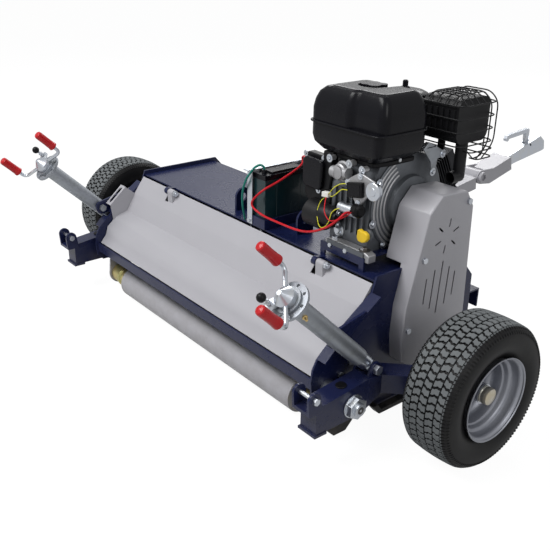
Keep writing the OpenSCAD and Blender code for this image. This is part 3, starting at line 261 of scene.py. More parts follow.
def moulded(name, colour, rough, depth=0.00006, coat=0.0, dust=0.3):
    """Plastic or rubber with a fine grain of that depth, and dust in cloudy patches."""
    plastic = Finish(name, Metallic=0.0, Coat_Weight=coat, Coat_Roughness=0.1, Specular_IOR_Level=0.16)
    cloud = plastic.noise(16.0, 4.0)
    plastic.set(Base_Color=plastic.blend(cloud.above(0.58, 0.4) * dust * 0.3, colour, (0.13, 0.125, 0.12)))
    plastic.set(Roughness=(cloud * 0.12 + rough).clipped())
    plastic.set(Normal=plastic.relief(plastic.cells(900.0), depth, 0.5))
    return plastic.material


def cast_alloy(name, colour):
    """Cast aluminium: rough, and darker in patches."""
    metal = Finish(name, Metallic=0.85)
    cloud = metal.noise(20.0, 5.0, 0.6)
    metal.set(Base_Color=metal.blend(cloud.above(0.55, 0.4) * 0.5, colour, tuple(c * 0.55 for c in colour)))
    metal.set(Roughness=(cloud * 0.2 + 0.42).clipped())
    metal.set(Normal=metal.relief(metal.noise(700.0, 4.0, 0.7), 0.00018, 0.6))
    return metal.material


NAVY = powder_coat("navy_paint", (0.008, 0.012, 0.05), 0.22, 0.1, specular=0.3)
SILVER = powder_coat("silver_paint", (0.37, 0.365, 0.39), 0.36, 0.15, spread=0.03)
BLACK_PAINT = powder_coat("black_paint", (0.006, 0.006, 0.007), 0.42, 0.0, grain=500.0, specular=0.25)
RIM_SILVER = plated("rim_silver", (0.32, 0.33, 0.365), 0.44, 0.1, (0.26, 0.27, 0.3), 0.5)
TUBE_ZINC = plated("tube_zinc", (0.33, 0.35, 0.38), 0.42, 0.16, (0.26, 0.275, 0.28), 0.8)
ZINC = plated("zinc", (0.56, 0.59, 0.64), 0.26)
STEEL = plated("steel", (0.42, 0.42, 0.44), 0.32)
DARK_STEEL = plated("dark_steel", (0.12, 0.11, 0.11), 0.4)
BRASS = plated("brass", (0.6, 0.42, 0.16), 0.3)
CAP_ZINC = plated("cap_zinc", (0.52, 0.49, 0.41), 0.24, 0.12, (0.46, 0.38, 0.22), 0.6)
GOLD = plated("bearing_yellow", (0.62, 0.52, 0.24), 0.3, 0.2, (0.3, 0.42, 0.2), 0.6)
ALLOY = cast_alloy("cast_alloy", (0.15, 0.16, 0.175))
PALE_ALLOY = cast_alloy("pale_alloy", (0.42, 0.42, 0.43))
DARK_ALLOY = cast_alloy("dark_alloy", (0.03, 0.031, 0.035))
BLACK = moulded("black_plastic", (0.004, 0.004, 0.005), 0.34, dust=0.08)
BLACK_SHINY = moulded("black_shiny", (0.004, 0.004, 0.006), 0.2, depth=0.00002, dust=0.03)
BATTERY = moulded("battery_green", (0.006, 0.024, 0.028), 0.2, coat=0.4)
RED_GRIP = moulded("red_grip", (0.46, 0.01, 0.014), 0.22, depth=0.00002, coat=0.25, dust=0.0)
YELLOW = moulded("yellow_plastic", (0.75, 0.5, 0.03), 0.3, dust=0.0)
BELT = moulded("belt_rubber", (0.012, 0.012, 0.012), 0.6)
GREEN_SHEATH = moulded("cable_green", (0.012, 0.17, 0.13), 0.34, depth=0.00001, dust=0.0)
RED_SHEATH = moulded("cable_red", (0.5, 0.012, 0.02), 0.3, depth=0.00001, dust=0.0)
YELLOW_SHEATH = moulded("cable_yellow", (0.62, 0.6, 0.05), 0.3, depth=0.00001, dust=0.0)
WHITE = moulded("white_plastic", (0.7, 0.7, 0.66), 0.4, dust=0.2)
print("finishes", len(bpy.data.materials))

# %% [markdown]
# ## Rubber
# The tread blocks are coloured greyer than the grooves between them. The distance from the axle
# tells the tops from the grooves, so the rubber's colour follows the radius.


# %% Tyre rubber
TYRE_R = 203.0
TRACK_HALF = 892.5
TREAD_TOP = 0.2002
CROWN_CURVE = 1.1


def tyre_rubber():
    """Black rubber, greyer where the point lies out on the tread's crown."""
    rubber = Finish("tyre", Metallic=0.0, Specular_IOR_Level=0.16)
    x, y, z = rubber.split()
    y, z = y + ORIGIN_Y / 1000.0, z - TYRE_R / 1000.0
    across = x.maths("ABSOLUTE") - TRACK_HALF / 1000.0
    level = (y * y + z * z) ** 0.5 + across * across * CROWN_CURVE
    tops = level.above(TREAD_TOP, 0.0012)
    cloud = rubber.noise(26.0, 5.0, 0.6)
    # The tread tops are coloured grey, and the grooves and walls near black.
    tread_top_grey = rubber.blend(cloud, (0.1, 0.108, 0.112), (0.165, 0.175, 0.18))
    wall = rubber.blend(cloud.above(0.62, 0.3) * 0.4, (0.009, 0.009, 0.0095), (0.03, 0.029, 0.027))
    rubber.set(Base_Color=rubber.blend(tops, wall, tread_top_grey))
    rubber.set(Roughness=(cloud * 0.15 + 0.42 + tops * 0.2).clipped())
    rubber.set(Normal=rubber.relief(rubber.noise(600.0, 3.0), 0.0001, 0.5))
    return rubber.material


TYRE = tyre_rubber()
print("rubber ready")

# %% [markdown]
# ## Making meshes
# Three helpers cover most pieces: `spun` turns a profile about an axis, `tube` runs a round
# section along a smooth line, and `dressed` takes a copy of one of the solids, joins its loose
# triangles, rounds its edges with a bevel and smooths what should be smooth. Pressed and
# welded steel has no knife edges, and the small round catches the light.


# %% Mesh helpers
def as_object(name, mesh, body, finish, slot, *replaced):
    """Links a finished mesh, gives it its finish and lets it ride on a body."""
    made = bpy.data.objects.new(name, mesh)
    scene.collection.objects.link(made)
    made.data.materials.append(finish)
    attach(made, body)
    if replaced:
        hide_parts(*replaced)
    return made


def smoothed(mesh, angle=35.0):
    """Smooth shading, with edges sharper than the angle kept crisp."""
    for face in mesh.polygons:
        face.use_smooth = True
    mesh.set_sharp_from_angle(angle=math.radians(angle))
    return mesh


def outward(work):
    """Joins doubled points and turns every face outwards."""
    bmesh.ops.remove_doubles(work, verts=work.verts, dist=1e-6)
    bmesh.ops.recalc_face_normals(work, faces=work.faces)
    return work


def applied(made):
    """Turns a piece's live modifiers into plain mesh."""
    graph = bpy.context.evaluated_depsgraph_get()
    mesh = bpy.data.meshes.new_from_object(made.evaluated_get(graph))
    old = made.data
    made.modifiers.clear()
    made.data = mesh
    bpy.data.meshes.remove(old)
    return made


def rounded(made, width, segments=2, angle=32.0):
    """Rounds the edges of a piece, width in millimetres."""
    edge = made.modifiers.new("edge", "BEVEL")
    edge.width = width / 1000.0
    edge.segments = segments
    edge.limit_method = "ANGLE"
    edge.angle_limit = math.radians(angle)
    edge.use_clamp_overlap = True
    smoothed(made.data, angle)
    flats = made.modifiers.new("flats", "WEIGHTED_NORMAL")
    flats.keep_sharp = True
    flats.weight = 100
    return applied(made)


def dressed(node, finish, width):
    """A copy of one of the solids with joined faces and rounded edges, in its place."""
    source = frame["nodes"][node]
    work = bmesh.new()
    work.from_mesh(source.data)
    bmesh.ops.remove_doubles(work, verts=work.verts, dist=2e-6)
    bmesh.ops.dissolve_limit(work, angle_limit=math.radians(0.6), verts=work.verts, edges=work.edges)
    mesh = bpy.data.meshes.new(node + "_dressed")
    work.to_mesh(mesh)
    work.free()
    made = as_object(node + "_dressed", mesh, source["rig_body"], finish, slots[node], node)
    if width:
        rounded(made, width)
    else:
        smoothed(made.data)
    return made


def spun(profile, centre, axis, name, body, finish, slot, *replaced, steps=64):
    """Turns a profile of (along, radius) points in millimetres about an axis through centre."""
    axis = Vector(axis).normalized()
    side = axis.orthogonal().normalized()
    work = bmesh.new()
    points = [work.verts.new(Vector(centre) + axis * (a / 1000.0) + side * (r / 1000.0)) for a, r in profile]
    edges = [work.edges.new(pair) for pair in zip(points, points[1:])]
    bmesh.ops.spin(work, geom=points + edges, cent=centre, axis=axis, angle=math.tau, steps=steps, use_merge=True)
    return finished(work, name, body, finish, slot, *replaced)


def rounded_route(points, steps=6):
    """A smooth line through the points, as a list of vectors."""
    route = []
    for i in range(len(points) - 1):
        a, b = points[max(i - 1, 0)], points[i]
        c, d = points[i + 1], points[min(i + 2, len(points) - 1)]
        for k in range(steps):
            t = k / steps
            curve = (2 * a - 5 * b + 4 * c - d) * t * t + (3 * b - a - 3 * c + d) * t**3
            route.append(0.5 * ((2 * b) + (c - a) * t + curve))
    return route + [points[-1]]


def skinned(work, rings):
    """Joins rings of as many points each with walls, and closes the first ring and the last."""
    for low, high in zip(rings, rings[1:]):
        for k in range(len(low)):
            n = (k + 1) % len(low)
            work.faces.new((low[k], low[n], high[n], high[k]))
    work.faces.new(rings[0][::-1])
    work.faces.new(rings[-1])
    return work


def tube(work, route, radius, sides=12):
    """Adds a round tube along a route of vectors, with its radius in metres."""
    rings, side = [], None
    turns = [math.tau * k / sides for k in range(sides)]
    for i, point in enumerate(route):
        ahead = (route[min(i + 1, len(route) - 1)] - route[max(i - 1, 0)]).normalized()
        side = (side - ahead * side.dot(ahead)).normalized() if side else ahead.orthogonal().normalized()
        up = ahead.cross(side)
        rings.append([work.verts.new(point + (side * math.cos(t) + up * math.sin(t)) * radius) for t in turns])
    return skinned(work, rings)


def finished(work, name, body, finish, slot, *replaced, angle=35.0):
    """Closes a mesh in the making and puts it in the scene."""
    outward(work)
    mesh = bpy.data.meshes.new(name)
    work.to_mesh(mesh)
    work.free()
    return as_object(name, smoothed(mesh, angle), body, finish, slot, *replaced)


slots = {part["node"]: part["material_slot"] for part in frame["record"]["subparts"]}
print("helpers ready, slots", len(set(slots.values())))

# %% [markdown]
# ## Tyres
# A turf tyre is a smooth carcass with rows of wavy blocks that interlock like bricks, and short
# ribs that run down over the shoulder. One stretch of tread, a single pitch long, is built flat
# as outlines and wrapped round the crown. Geometry Nodes then set the rest of them round the wheel.


# %% Tyre carcass and tread
PITCHES = 60
ROWS = (-50.0, -25.0, 0.0, 25.0, 50.0)
SHOULDER = 55.0


def crown(across):
    """Radius of the tread's top at that distance from the tyre's middle, in millimetres."""
    return TYRE_R - 0.6 - 3.2 * (across / SHOULDER) ** 2 - max(0.0, abs(across) - SHOULDER) ** 1.6 * 0.11


def wrapped(along, across, radius, side):
    """A point of the tread: along the rim, across the tyre and out from the axle, in millimetres."""
    turn = along / TYRE_R
    return pt(side * (TRACK_HALF + across), radius * math.sin(turn), TYRE_R + radius * math.cos(turn))


def add_block(work, outline, depth, side, draft=0.9):
    """A tread block over an outline of (along, across) points, its sides spreading towards the foot."""
    middle = [sum(values) / len(outline) for values in zip(*outline)]
    top, foot = [], []
    for along, across in outline:
        a, b = along - middle[0], across - middle[1]
        spread = draft / max(1.0, math.hypot(a, b)) + 1.0
        below = wrapped(middle[0] + a * spread, middle[1] + b * spread, crown(across) - depth, side)
        top.append(work.verts.new(wrapped(along, across, crown(across), side)))
        foot.append(work.verts.new(below))
    work.faces.new(top)
    for k in range(len(top)):
        n = (k + 1) % len(top)
        work.faces.new((top[k], foot[k], foot[n], top[n]))


def wavy_block(shift, across, width, thick, bend):
    """Outline of a bent block: a band across the tyre whose middle is pushed along by bend."""
    half, low = width / 2.0, thick / 2.0
    line = [(-half, -bend * 0.5), (-half * 0.45, -bend * 0.3), (half * 0.05, bend * 0.6), (half * 0.5, bend * 0.3),
            (half, bend * 0.4)]
    ahead = [(shift + b + low, across + a) for a, b in line]
    behind = [(shift + b - low, across + a) for a, b in reversed(line)]
    return ahead + behind


def tread_pitch(side):
    """One pitch of tread: five rows of blocks, and two ribs on each shoulder."""
    pitch = math.tau * TYRE_R / PITCHES
    work = bmesh.new()
    for row, across in enumerate(ROWS):
        odd, outer = row % 2, across in (ROWS[0], ROWS[-1])
        width = 17.0 if outer else 20.8
        centre = math.copysign(48.0, across) if outer else across
        outline = wavy_block(odd * pitch / 2, centre, width, pitch * 0.66, 4.4 if odd else -4.4)
        add_block(work, outline, 6.5, side)
    for edge in (-1, 1):
        for half in (0, 1):
            start = (half - 0.25) * pitch / 2
            rib = [(0.0, 58.5), (7.4, 58.5), (7.0, 66.0), (6.4, 74.0), (1.6, 74.0), (0.6, 66.0)]
            add_block(work, [(start + a, edge * b) for a, b in rib], 4.2, side, 0.5)
    mesh = bpy.data.meshes.new("tread_pitch")
    outward(work).to_mesh(mesh)
    work.free()
    return mesh


def ring_of_copies(count):
    """A node tree that sets count copies of a mesh round an axle along X, and its inputs' keys."""
    tree = bpy.data.node_groups.new("ring_of_copies", "GeometryNodeTree")
    face = tree.interface
    face.new_socket("Geometry", in_out="INPUT", socket_type="NodeSocketGeometry")
    middle = face.new_socket("Centre", in_out="INPUT", socket_type="NodeSocketVector")
    paint = face.new_socket("Finish", in_out="INPUT", socket_type="NodeSocketMaterial")
    face.new_socket("Geometry", in_out="OUTPUT", socket_type="NodeSocketGeometry")
    new = tree.nodes.new
    start, end = new("NodeGroupInput"), new("NodeGroupOutput")
    line, index = new("GeometryNodeMeshLine"), new("GeometryNodeInputIndex")
    copies = new("GeometryNodeInstanceOnPoints")
    step, spin, turn = new("ShaderNodeMath"), new("ShaderNodeCombineXYZ"), new("GeometryNodeRotateInstances")
    real, coat = new("GeometryNodeRealizeInstances"), new("GeometryNodeSetMaterial")
    line.mode = "OFFSET"
    line.inputs["Count"].default_value = count
    line.inputs["Offset"].default_value = (0.0, 0.0, 0.0)
    step.operation = "MULTIPLY"
    step.inputs[1].default_value = math.tau / count
    link = tree.links.new
    link(line.outputs["Mesh"], copies.inputs["Points"])
    link(start.outputs["Geometry"], copies.inputs["Instance"])
    link(index.outputs[0], step.inputs[0])
    link(step.outputs[0], spin.inputs["X"])
    link(copies.outputs[0], turn.inputs["Instances"])
    link(spin.outputs[0], turn.inputs["Rotation"])
    link(start.outputs["Centre"], turn.inputs["Pivot Point"])
    turn.inputs["Local Space"].default_value = False
    link(turn.outputs[0], real.inputs[0])
    link(real.outputs[0], coat.inputs["Geometry"])
    link(start.outputs["Finish"], coat.inputs["Material"])
    link(coat.outputs[0], end.inputs[0])
    return tree, {"centre": middle.identifier, "finish": paint.identifier}


def copied_round(mesh, tree_and_keys, centre, finish, name):
    """Runs a ring tree on a mesh and returns the result as a plain mesh."""
    tree, keys = tree_and_keys
    holder = bpy.data.objects.new(name, mesh)
    scene.collection.objects.link(holder)
    ring = holder.modifiers.new("ring", "NODES")
    ring.node_group = tree
    ring[keys["centre"]] = centre
    ring[keys["finish"]] = finish
    result = bpy.data.meshes.new_from_object(holder.evaluated_get(bpy.context.evaluated_depsgraph_get()))
    bpy.data.objects.remove(holder)
    return result


TREAD_RING = ring_of_copies(PITCHES)
CARCASS = [(-48, 106), (-56, 110), (-66, 122), (-74, 140), (-76, 158), (-74.5, 174), (-72, 184), (-68.5, 190),
           (-62, 193.5), (-50, 195), (-25, 196), (0, 196.4), (25, 196), (50, 195), (62, 193.5), (68.5, 190),
           (72, 184), (74.5, 174), (76, 158), (74, 140), (66, 122), (56, 110), (48, 106), (46, 108), (60, 128),
           (66, 158), (56, 180), (0, 186), (-56, 180), (-66, 158), (-60, 128), (-46, 108), (-48, 106)]


def tyre(side, label):
    """The carcass, spun, with the ring of tread joined to it."""
    centre, body = pt(side * TRACK_HALF, 0.0, TYRE_R), "wheel_" + label
    tread = copied_round(tread_pitch(side), TREAD_RING, centre, TYRE, "tread_" + label)
    profile = [(a * side, r) for a, r in CARCASS]
    carcass = spun(profile, centre, (1, 0, 0), "tyre_piece_" + label, body, TYRE, "tyre", "tyre_" + label, steps=96)
    work = bmesh.new()
    work.from_mesh(carcass.data)
    work.from_mesh(tread)
    work.to_mesh(carcass.data)
    work.free()
    smoothed(carcass.data, 28.0)
    bpy.data.meshes.remove(tread)
    return carcass


for side, label in ((1, "right"), (-1, "left")):
    made = tyre(side, label)
    print(made.name, "faces", len(made.data.polygons))

# %% [markdown]
# ## Rims and hubs
# The rim is pressed steel in two halves: a rolled outer lip, a bead seat, a step down into the
# deep well and a flat disc far inside. A profile spun round the axle gives all of these folds at
# once. The hub's zinc cap stands at the end of a tube.


# %% Rims
FACE_LINE = [(75.0, 112.6), (77.2, 114.8), (77.0, 116.4), (75.0, 117.0), (72.0, 115.2), (69.5, 110.0),
             (66.0, 107.2), (60.0, 106.4), (48.0, 105.4), (44.0, 103.4), (41.5, 97.2), (38.5, 95.0),
             (31.0, 94.4), (27.5, 92.6), (25.5, 88.4), (22.0, 86.8), (6.0, 86.0), (-2.0, 84.6), (-7.0, 81.0),
             (-11.0, 76.6), (-17.0, 74.4), (-18.2, 70.0), (-18.2, 50.0), (-15.0, 46.0), (-15.0, 30.0)]
BACK_LINE = [(-21.0, 30.0), (-21.0, 86.0), (-34.0, 95.0), (-50.0, 105.0), (-67.0, 109.0), (-75.0, 116.6),
             (-77.0, 115.4), (-70.0, 106.0), (-52.0, 102.4), (-36.0, 92.6), (-23.0, 83.0)]
TUBE_LINE = [(-30, 13), (-34, 20), (-34, 26), (24, 26), (27, 24), (27, 20), (33, 19), (33, 13)]
WASHER_LINE = [(33.2, 13), (33.2, 27), (36.2, 27), (36.2, 13)]
CAP_LINE = [(36.4, 13), (36.4, 22.5), (38.5, 23.6), (52, 23.6), (56.5, 22.0), (58.5, 17.0), (59.0, 8.0), (59.0, 0.01)]


def rim(side, label):
    """Disc, well, hub tube, washer and cap, each spun round the axle."""
    centre, body = pt(side * TRACK_HALF, 0.0, TYRE_R), "wheel_" + label

    def ring(name, profile, finish, slot, *replaced, steps=64):
        line = [(a * side, r) for a, r in profile]
        spun(line, centre, (1, 0, 0), name + "_" + label, body, finish, slot, *replaced, steps=steps)

    ring("rim_face", FACE_LINE, RIM_SILVER, "silver_paint", "rim_" + label, steps=96)
    ring("rim_back", BACK_LINE, RIM_SILVER, "silver_paint", steps=96)
    ring("hub_tube", TUBE_LINE, RIM_SILVER, "silver_paint")
    ring("hub_washer", WASHER_LINE, ZINC, "zinc")
    ring("hub_cap", CAP_LINE, CAP_ZINC, "zinc")


for side, label in ((1, "right"), (-1, "left")):
    rim(side, label)
print("rims done")

# %% [markdown]
# ## The remaining solids
# Fabricated and cast pieces keep the shape of their solids. Each gets rounded edges of a width
# that suits how it was made, from 0.5 mm on thin sheet to 3 mm on the heavy drawbar tube, and
# its finish.

# %% Dress the solids
DRESS = {
    "deck_shell": (NAVY, 1.6), "frame_bolts": (ZINC, 0.8), "roller_hangers": (SILVER, 1.0),
    "skid_runners": (BLACK_PAINT, 1.5), "drawbar": (SILVER, 3.0), "hitch_sleeve": (SILVER, 2.0),
    "coupling_body": (ZINC, 1.5), "coupling_lever": (ZINC, 2.0), "battery_tray": (NAVY, 1.0),
    "battery_case": (BATTERY, 1.5), "battery_lid": (BLACK_SHINY, 1.5), "battery_strap": (ZINC, 0.7),
    "crankcase": (ALLOY, 2.0), "cylinder_head": (DARK_ALLOY, 0.8), "blower_housing": (BLACK, 2.5),
    "fuel_cap": (BLACK_SHINY, 2.0), "muffler": (BLACK_PAINT, 1.5), "exhaust_pipe": (BLACK_PAINT, 0.8),
    "starter_motor": (BLACK_PAINT, 2.0), "solenoid": (ZINC, 1.5), "belt_back_plate": (BLACK_PAINT, 0.5),
    "engine_pulley": (STEEL, 0.5), "rotor_pulley": (STEEL, 0.5), "drive_belts": (BELT, 0.6),
    "rotor_drum": (BLACK_PAINT, 0.8), "flails": (ZINC, 0.8), "rotor_bearings": (BLACK_PAINT, 2.0),
    "roller": (SILVER, 1.0), "roller_bearings": (GOLD, 2.0), "hood_hinge_bolts": (ZINC, 0.8),
    "arm_left": (NAVY, 2.0), "arm_right": (NAVY, 2.0), "pivot_nuts": (ZINC, 1.5),
    "arm_bolts_left": (ZINC, 1.0), "arm_bolts_right": (ZINC, 1.0), "jack_tube_left": (TUBE_ZINC, 1.0),
    "jack_tube_right": (TUBE_ZINC, 1.0), "jack_slide_left": (ZINC, 1.0), "jack_slide_right": (ZINC, 1.0),
    "crank_left": (ZINC, 0.8), "crank_right": (ZINC, 0.8), "plunger_left": (BLACK, 1.0), "plunger_right": (BLACK, 1.0),
}
for node, (finish, width) in DRESS.items():
    dressed(node, finish, width)
print("dressed", len(DRESS))

# %% [markdown]
# ## Plates, bolts and wires
# Four more helpers make the small parts that the solids leave out. A plate is an outline
# drawn out along one axis, and a turned piece is a profile spun about one. Bolt heads are one
# mesh that Geometry Nodes set at each of a list of places, since a machine like this uses one
# size again and again. A wire is a tube along a smooth route.


# %% Plates, bolts and wires
NEAR_AXIS = 0.01


def drawn_out(work, outline, axis, low, high):
    """Adds an outline of two coordinates in millimetres, drawn out along axis 0, 1 or 2."""
    others = [k for k in (0, 1, 2) if k != axis]
    rings = []
    for depth in (low, high):
        ring = []
        for pair in outline:
            place = [depth] * 3
            place[others[0]], place[others[1]] = pair
            ring.append(work.verts.new(pt(*place)))
        rings.append(ring)
    return skinned(work, rings)


def plate(name, outline, axis, low, high, finish, slot, *replaced, edge=1.0, segments=2):
    """A slab on the deck: an outline drawn out along an axis, its edges rounded."""
    work = drawn_out(bmesh.new(), outline, axis, low, high)
    return rounded(finished(work, name, "deck", finish, slot, *replaced), edge, segments)


def closed(profile):
    """A profile of (along, radius) points with both its ends brought to the axis."""
    return [(profile[0][0], NEAR_AXIS), *profile, (profile[-1][0], NEAR_AXIS)]


def turned(name, profile, place, axis, finish, slot, *replaced, steps=32):
    """A turned solid piece on the deck, standing at a place in millimetres."""
    return spun(closed(profile), pt(*place), axis, name, "deck", finish, slot, *replaced, steps=steps)


def head_mesh(across, high):
    """A hexagon head with a round-cornered top on its washer, standing up from the origin."""
    work = bmesh.new()
    washer, hexagon = [(0.0, 1.15), (1.6, 1.15), (1.6, 0.56)], [(1.61, 0.577), (high - 1.2, 0.577), (high, 0.5)]
    for sides, rows in ((24, washer), (6, hexagon)):
        rings = []
        for level, part in rows:
            size, turns = across * part, [math.tau * k / sides for k in range(sides)]
            ring = [Vector((math.cos(t) * size, math.sin(t) * size, level)) / 1000 for t in turns]
            rings.append([work.verts.new(point) for point in ring])
        skinned(work, rings)
    mesh = bpy.data.meshes.new("bolt_head")
    bmesh.ops.recalc_face_normals(work, faces=work.faces)
    work.to_mesh(mesh)
    work.free()
    return smoothed(mesh)


def set_at_points():
    """A node tree that sets an object at each point of a mesh, turned alike."""
    tree = bpy.data.node_groups.new("set_at_points", "GeometryNodeTree")
    face = tree.interface
    face.new_socket("Points", in_out="INPUT", socket_type="NodeSocketGeometry")
    kinds = (("Head", "NodeSocketObject"), ("Turn", "NodeSocketVector"), ("Finish", "NodeSocketMaterial"))
    keys = {key.lower(): face.new_socket(key, in_out="INPUT", socket_type=kind).identifier for key, kind in kinds}
    face.new_socket("Geometry", in_out="OUTPUT", socket_type="NodeSocketGeometry")
    new, link = tree.nodes.new, tree.links.new
    start, end, head = new("NodeGroupInput"), new("NodeGroupOutput"), new("GeometryNodeObjectInfo")
    copies = new("GeometryNodeInstanceOnPoints")
    real, coat = new("GeometryNodeRealizeInstances"), new("GeometryNodeSetMaterial")
    link(start.outputs["Points"], copies.inputs["Points"])
    link(start.outputs["Head"], head.inputs["Object"])
    link(head.outputs["Geometry"], copies.inputs["Instance"])
    link(start.outputs["Turn"], copies.inputs["Rotation"])
    link(copies.outputs[0], real.inputs[0])
    link(real.outputs[0], coat.inputs["Geometry"])
    link(start.outputs["Finish"], coat.inputs["Material"])
    link(coat.outputs[0], end.inputs[0])
    return tree, keys


HEAD_TREE, HEAD_KEYS = set_at_points()


def bolt_heads(name, places, axis, across, high, finish=ZINC):
    """Hexagon heads on the deck, at places in millimetres, all looking along axis."""
    head = bpy.data.objects.new(name + "_head", head_mesh(across, high))
    spots = bpy.data.meshes.new(name + "_spots")
    spots.from_pydata([pt(*place) for place in places], [], [])
    holder = bpy.data.objects.new(name + "_holder", spots)
    scene.collection.objects.link(holder)
    scene.collection.objects.link(head)
    setter = holder.modifiers.new("heads", "NODES")
    setter.node_group = HEAD_TREE
    setter[HEAD_KEYS["head"]] = head
    setter[HEAD_KEYS["turn"]] = Vector(axis).to_track_quat("Z", "Y").to_euler()
    setter[HEAD_KEYS["finish"]] = finish
    mesh = bpy.data.meshes.new_from_object(holder.evaluated_get(bpy.context.evaluated_depsgraph_get()))
    for used in (holder, head):
        bpy.data.objects.remove(used)
    mesh.materials.clear()
    return as_object(name, mesh, "deck", finish, "zinc")


def wire(name, points, diameter, finish, slot, *replaced, stiffness="limp"):
    """A wire along a smooth route through points in millimetres."""
    route = rounded_route([pt(*point) for point in points])
    made = finished(tube(bmesh.new(), route, diameter / 2000.0, 10), name, "deck", finish, slot, *replaced, angle=60.0)
    length = sum((b - a).length for a, b in zip(route, route[1:]))
    print(name, "length", round(length, 3))
    return made


# %% [markdown]
# ## Battery and starter cables
# A thick red cable runs from the battery's far post, out to the rear of the engine and on to
# the starter's relay, and a green one goes down from the near post to the frame. Their routes repeat those
# of the solids they stand for.

# %% Cables
BATTERY_ROUTE = [
    (104, -71, 610.3), (103, -73, 618), (97, -82, 623.5), (88, -93, 617), (76, -100, 600), (58, -106, 572),
    (34, -102, 524), (24, -94, 476), (18, -83, 440), (17, -80, 425.3)]
STARTER_ROUTE = [
    (104, 82, 610.3), (104, 82, 624), (132, 66, 632), (150, 30, 612), (143, -38, 580), (128, -98, 552), (92, -110, 506),
    (130, -106, 482), (220, -104, 478), (310, -104, 482), (375, -108, 500), (436, -112, 532), (480, -112, 568),
    (489, -100, 584), (489, -83.3, 584)]
wire("battery_lead", BATTERY_ROUTE, 7.0, GREEN_SHEATH, "cable_green", "battery_cable", stiffness="medium")
wire("starter_lead", STARTER_ROUTE, 7.0, RED_SHEATH, "cable_red", "starter_cable", stiffness="medium")

# %% [markdown]
# ## The engine's near side
# Most of the detail in the photograph sits here, within a hand's breadth: a faceted black box,
# the round carburettor, a cast plate with a black block and a zinc disc, the starter's relay
# with its rubber end, a white plug with thin yellow wires, a wing-shaped oil plug and a pale
# cast foot. Each is built where its pixels fall on the engine's rear face.

# %% Engine side
BACK = (0, -1, 0)
RIGHT = (1, 0, 0)
CRANK_Y, CRANK_Z = 104, 588


def black_plate(name, outline, low, high, *replaced, finish=BLACK, edge=4.0, segments=2):
    """A plastic piece that looks backwards from the engine."""
    plate(name, outline, 1, low, high, finish, "black_plastic", *replaced, edge=edge, segments=segments)


def alloy_plate(name, outline, low, high, *replaced, finish=PALE_ALLOY, edge=1.0):
    """A cast piece that looks backwards from the engine."""
    plate(name, outline, 1, low, high, finish, "cast_alloy", *replaced, edge=edge)


black_plate("control_box_body", [(258, 604), (270, 592), (342, 590), (356, 602), (361, 684), (352, 698), (272, 700),
                                 (256, 688)], -44, -18, "control_box", edge=3.0)
black_plate("control_box_lid", [(266, 612), (276, 602), (336, 600), (346, 610), (350, 678), (342, 688), (278, 690),
                                (265, 680)], -61, -40, finish=BLACK_SHINY, edge=6.0, segments=3)
bolt_heads("control_box_screws", [(340, -45, 692), (322, -45, 596), (264, -45, 692)], BACK, 8.0, 5.0)
black_plate("side_shroud", [(332, 604), (368, 606), (378, 652), (374, 700), (380, 718), (340, 718)], -48, -20)
black_plate("lower_shroud", [(284, 552), (374, 556), (374, 612), (264, 612), (264, 572)], -46, -20)
plate("top_shroud", [(340, -38), (524, -38), (534, 20), (534, 112), (340, 112)], 2, 704.5, 719.5,
      BLACK, "black_plastic", edge=4.0)
turned("carburettor_bowl", [(0, 27), (6, 29), (10, 29), (12, 24), (24, 23), (27, 19), (30, 18), (34, 18), (36, 12)],
       (424, -40, 677), BACK, PALE_ALLOY, "cast_alloy")
turned("carburettor_neck", [(0, 16), (14, 16), (16, 20), (22, 20), (24, 15), (62, 15)],
       (392, -58, 672), (1, 0, 0.1), PALE_ALLOY, "cast_alloy", steps=28)
BOSSES = [(378, 705, 8), (455, 706, 10), (504, 700, 9)]
for k, (x, z, r) in enumerate(BOSSES):
    boss = [(0, r), (16, r), (18, r - 2)]
    turned("cast_boss_%d" % k, boss, (x, -40, z), BACK, PALE_ALLOY, "cast_alloy", steps=24)
bolt_heads("boss_bolts", [(x, -58.4, z) for x, z, r in BOSSES], BACK, 10.0, 6.0)
alloy_plate("ignition_stand", [(476, 656), (500, 680), (540, 668), (546, 650), (508, 614), (488, 616)], -56, -38,
            finish=ALLOY)
alloy_plate("ignition_plate", [(452, 664), (496, 691), (510, 691), (556, 680), (560, 668), (508, 603), (494, 600),
                               (454, 644)], -62, -55.5, "ignition_module", edge=2.0)
black_plate("ignition_block", [(461, 659), (518, 671), (521, 629), (468, 618)], -73, -61.5, edge=2.0)
black_plate("ignition_block_face", [(466, 654), (513, 664), (516, 634), (472, 624)], -74.2, -72.5,
            finish=BLACK_SHINY, edge=0.6)
bolt_heads("ignition_screws", [(503, -62.4, 684), (500, -62.4, 608), (457, -62.4, 656)], BACK, 8.0, 4.0)
turned("zinc_disc", [(0, 20), (10, 20), (10, 24.4), (12, 25), (16, 25), (17.4, 23.5), (17.4, 12), (18.6, 11)],
       (556, -52, 655), BACK, ZINC, "zinc", steps=48)
turned("relay_boot", [(0, 15), (3, 18), (24, 18), (27, 14), (28, 9), (34, 9)],
       (494, -66, 590), (1, -0.25, 0.05), BLACK, "black_plastic")
turned("starter_nose", [(0, 25), (3, 29), (52, 30), (58, 27), (60, 18), (66, 17)],
       (364, -66, 545), RIGHT, BLACK_PAINT, "black_paint", steps=40)
bolt_heads("starter_screws", [(431, -66, 562), (431, -66, 528)], RIGHT, 8.0, 5.0)
plate("wire_plug", [(380, 600), (406, 603), (406, 618), (380, 615)], 1, -86, -72, WHITE, "yellow_plastic", edge=1.5)
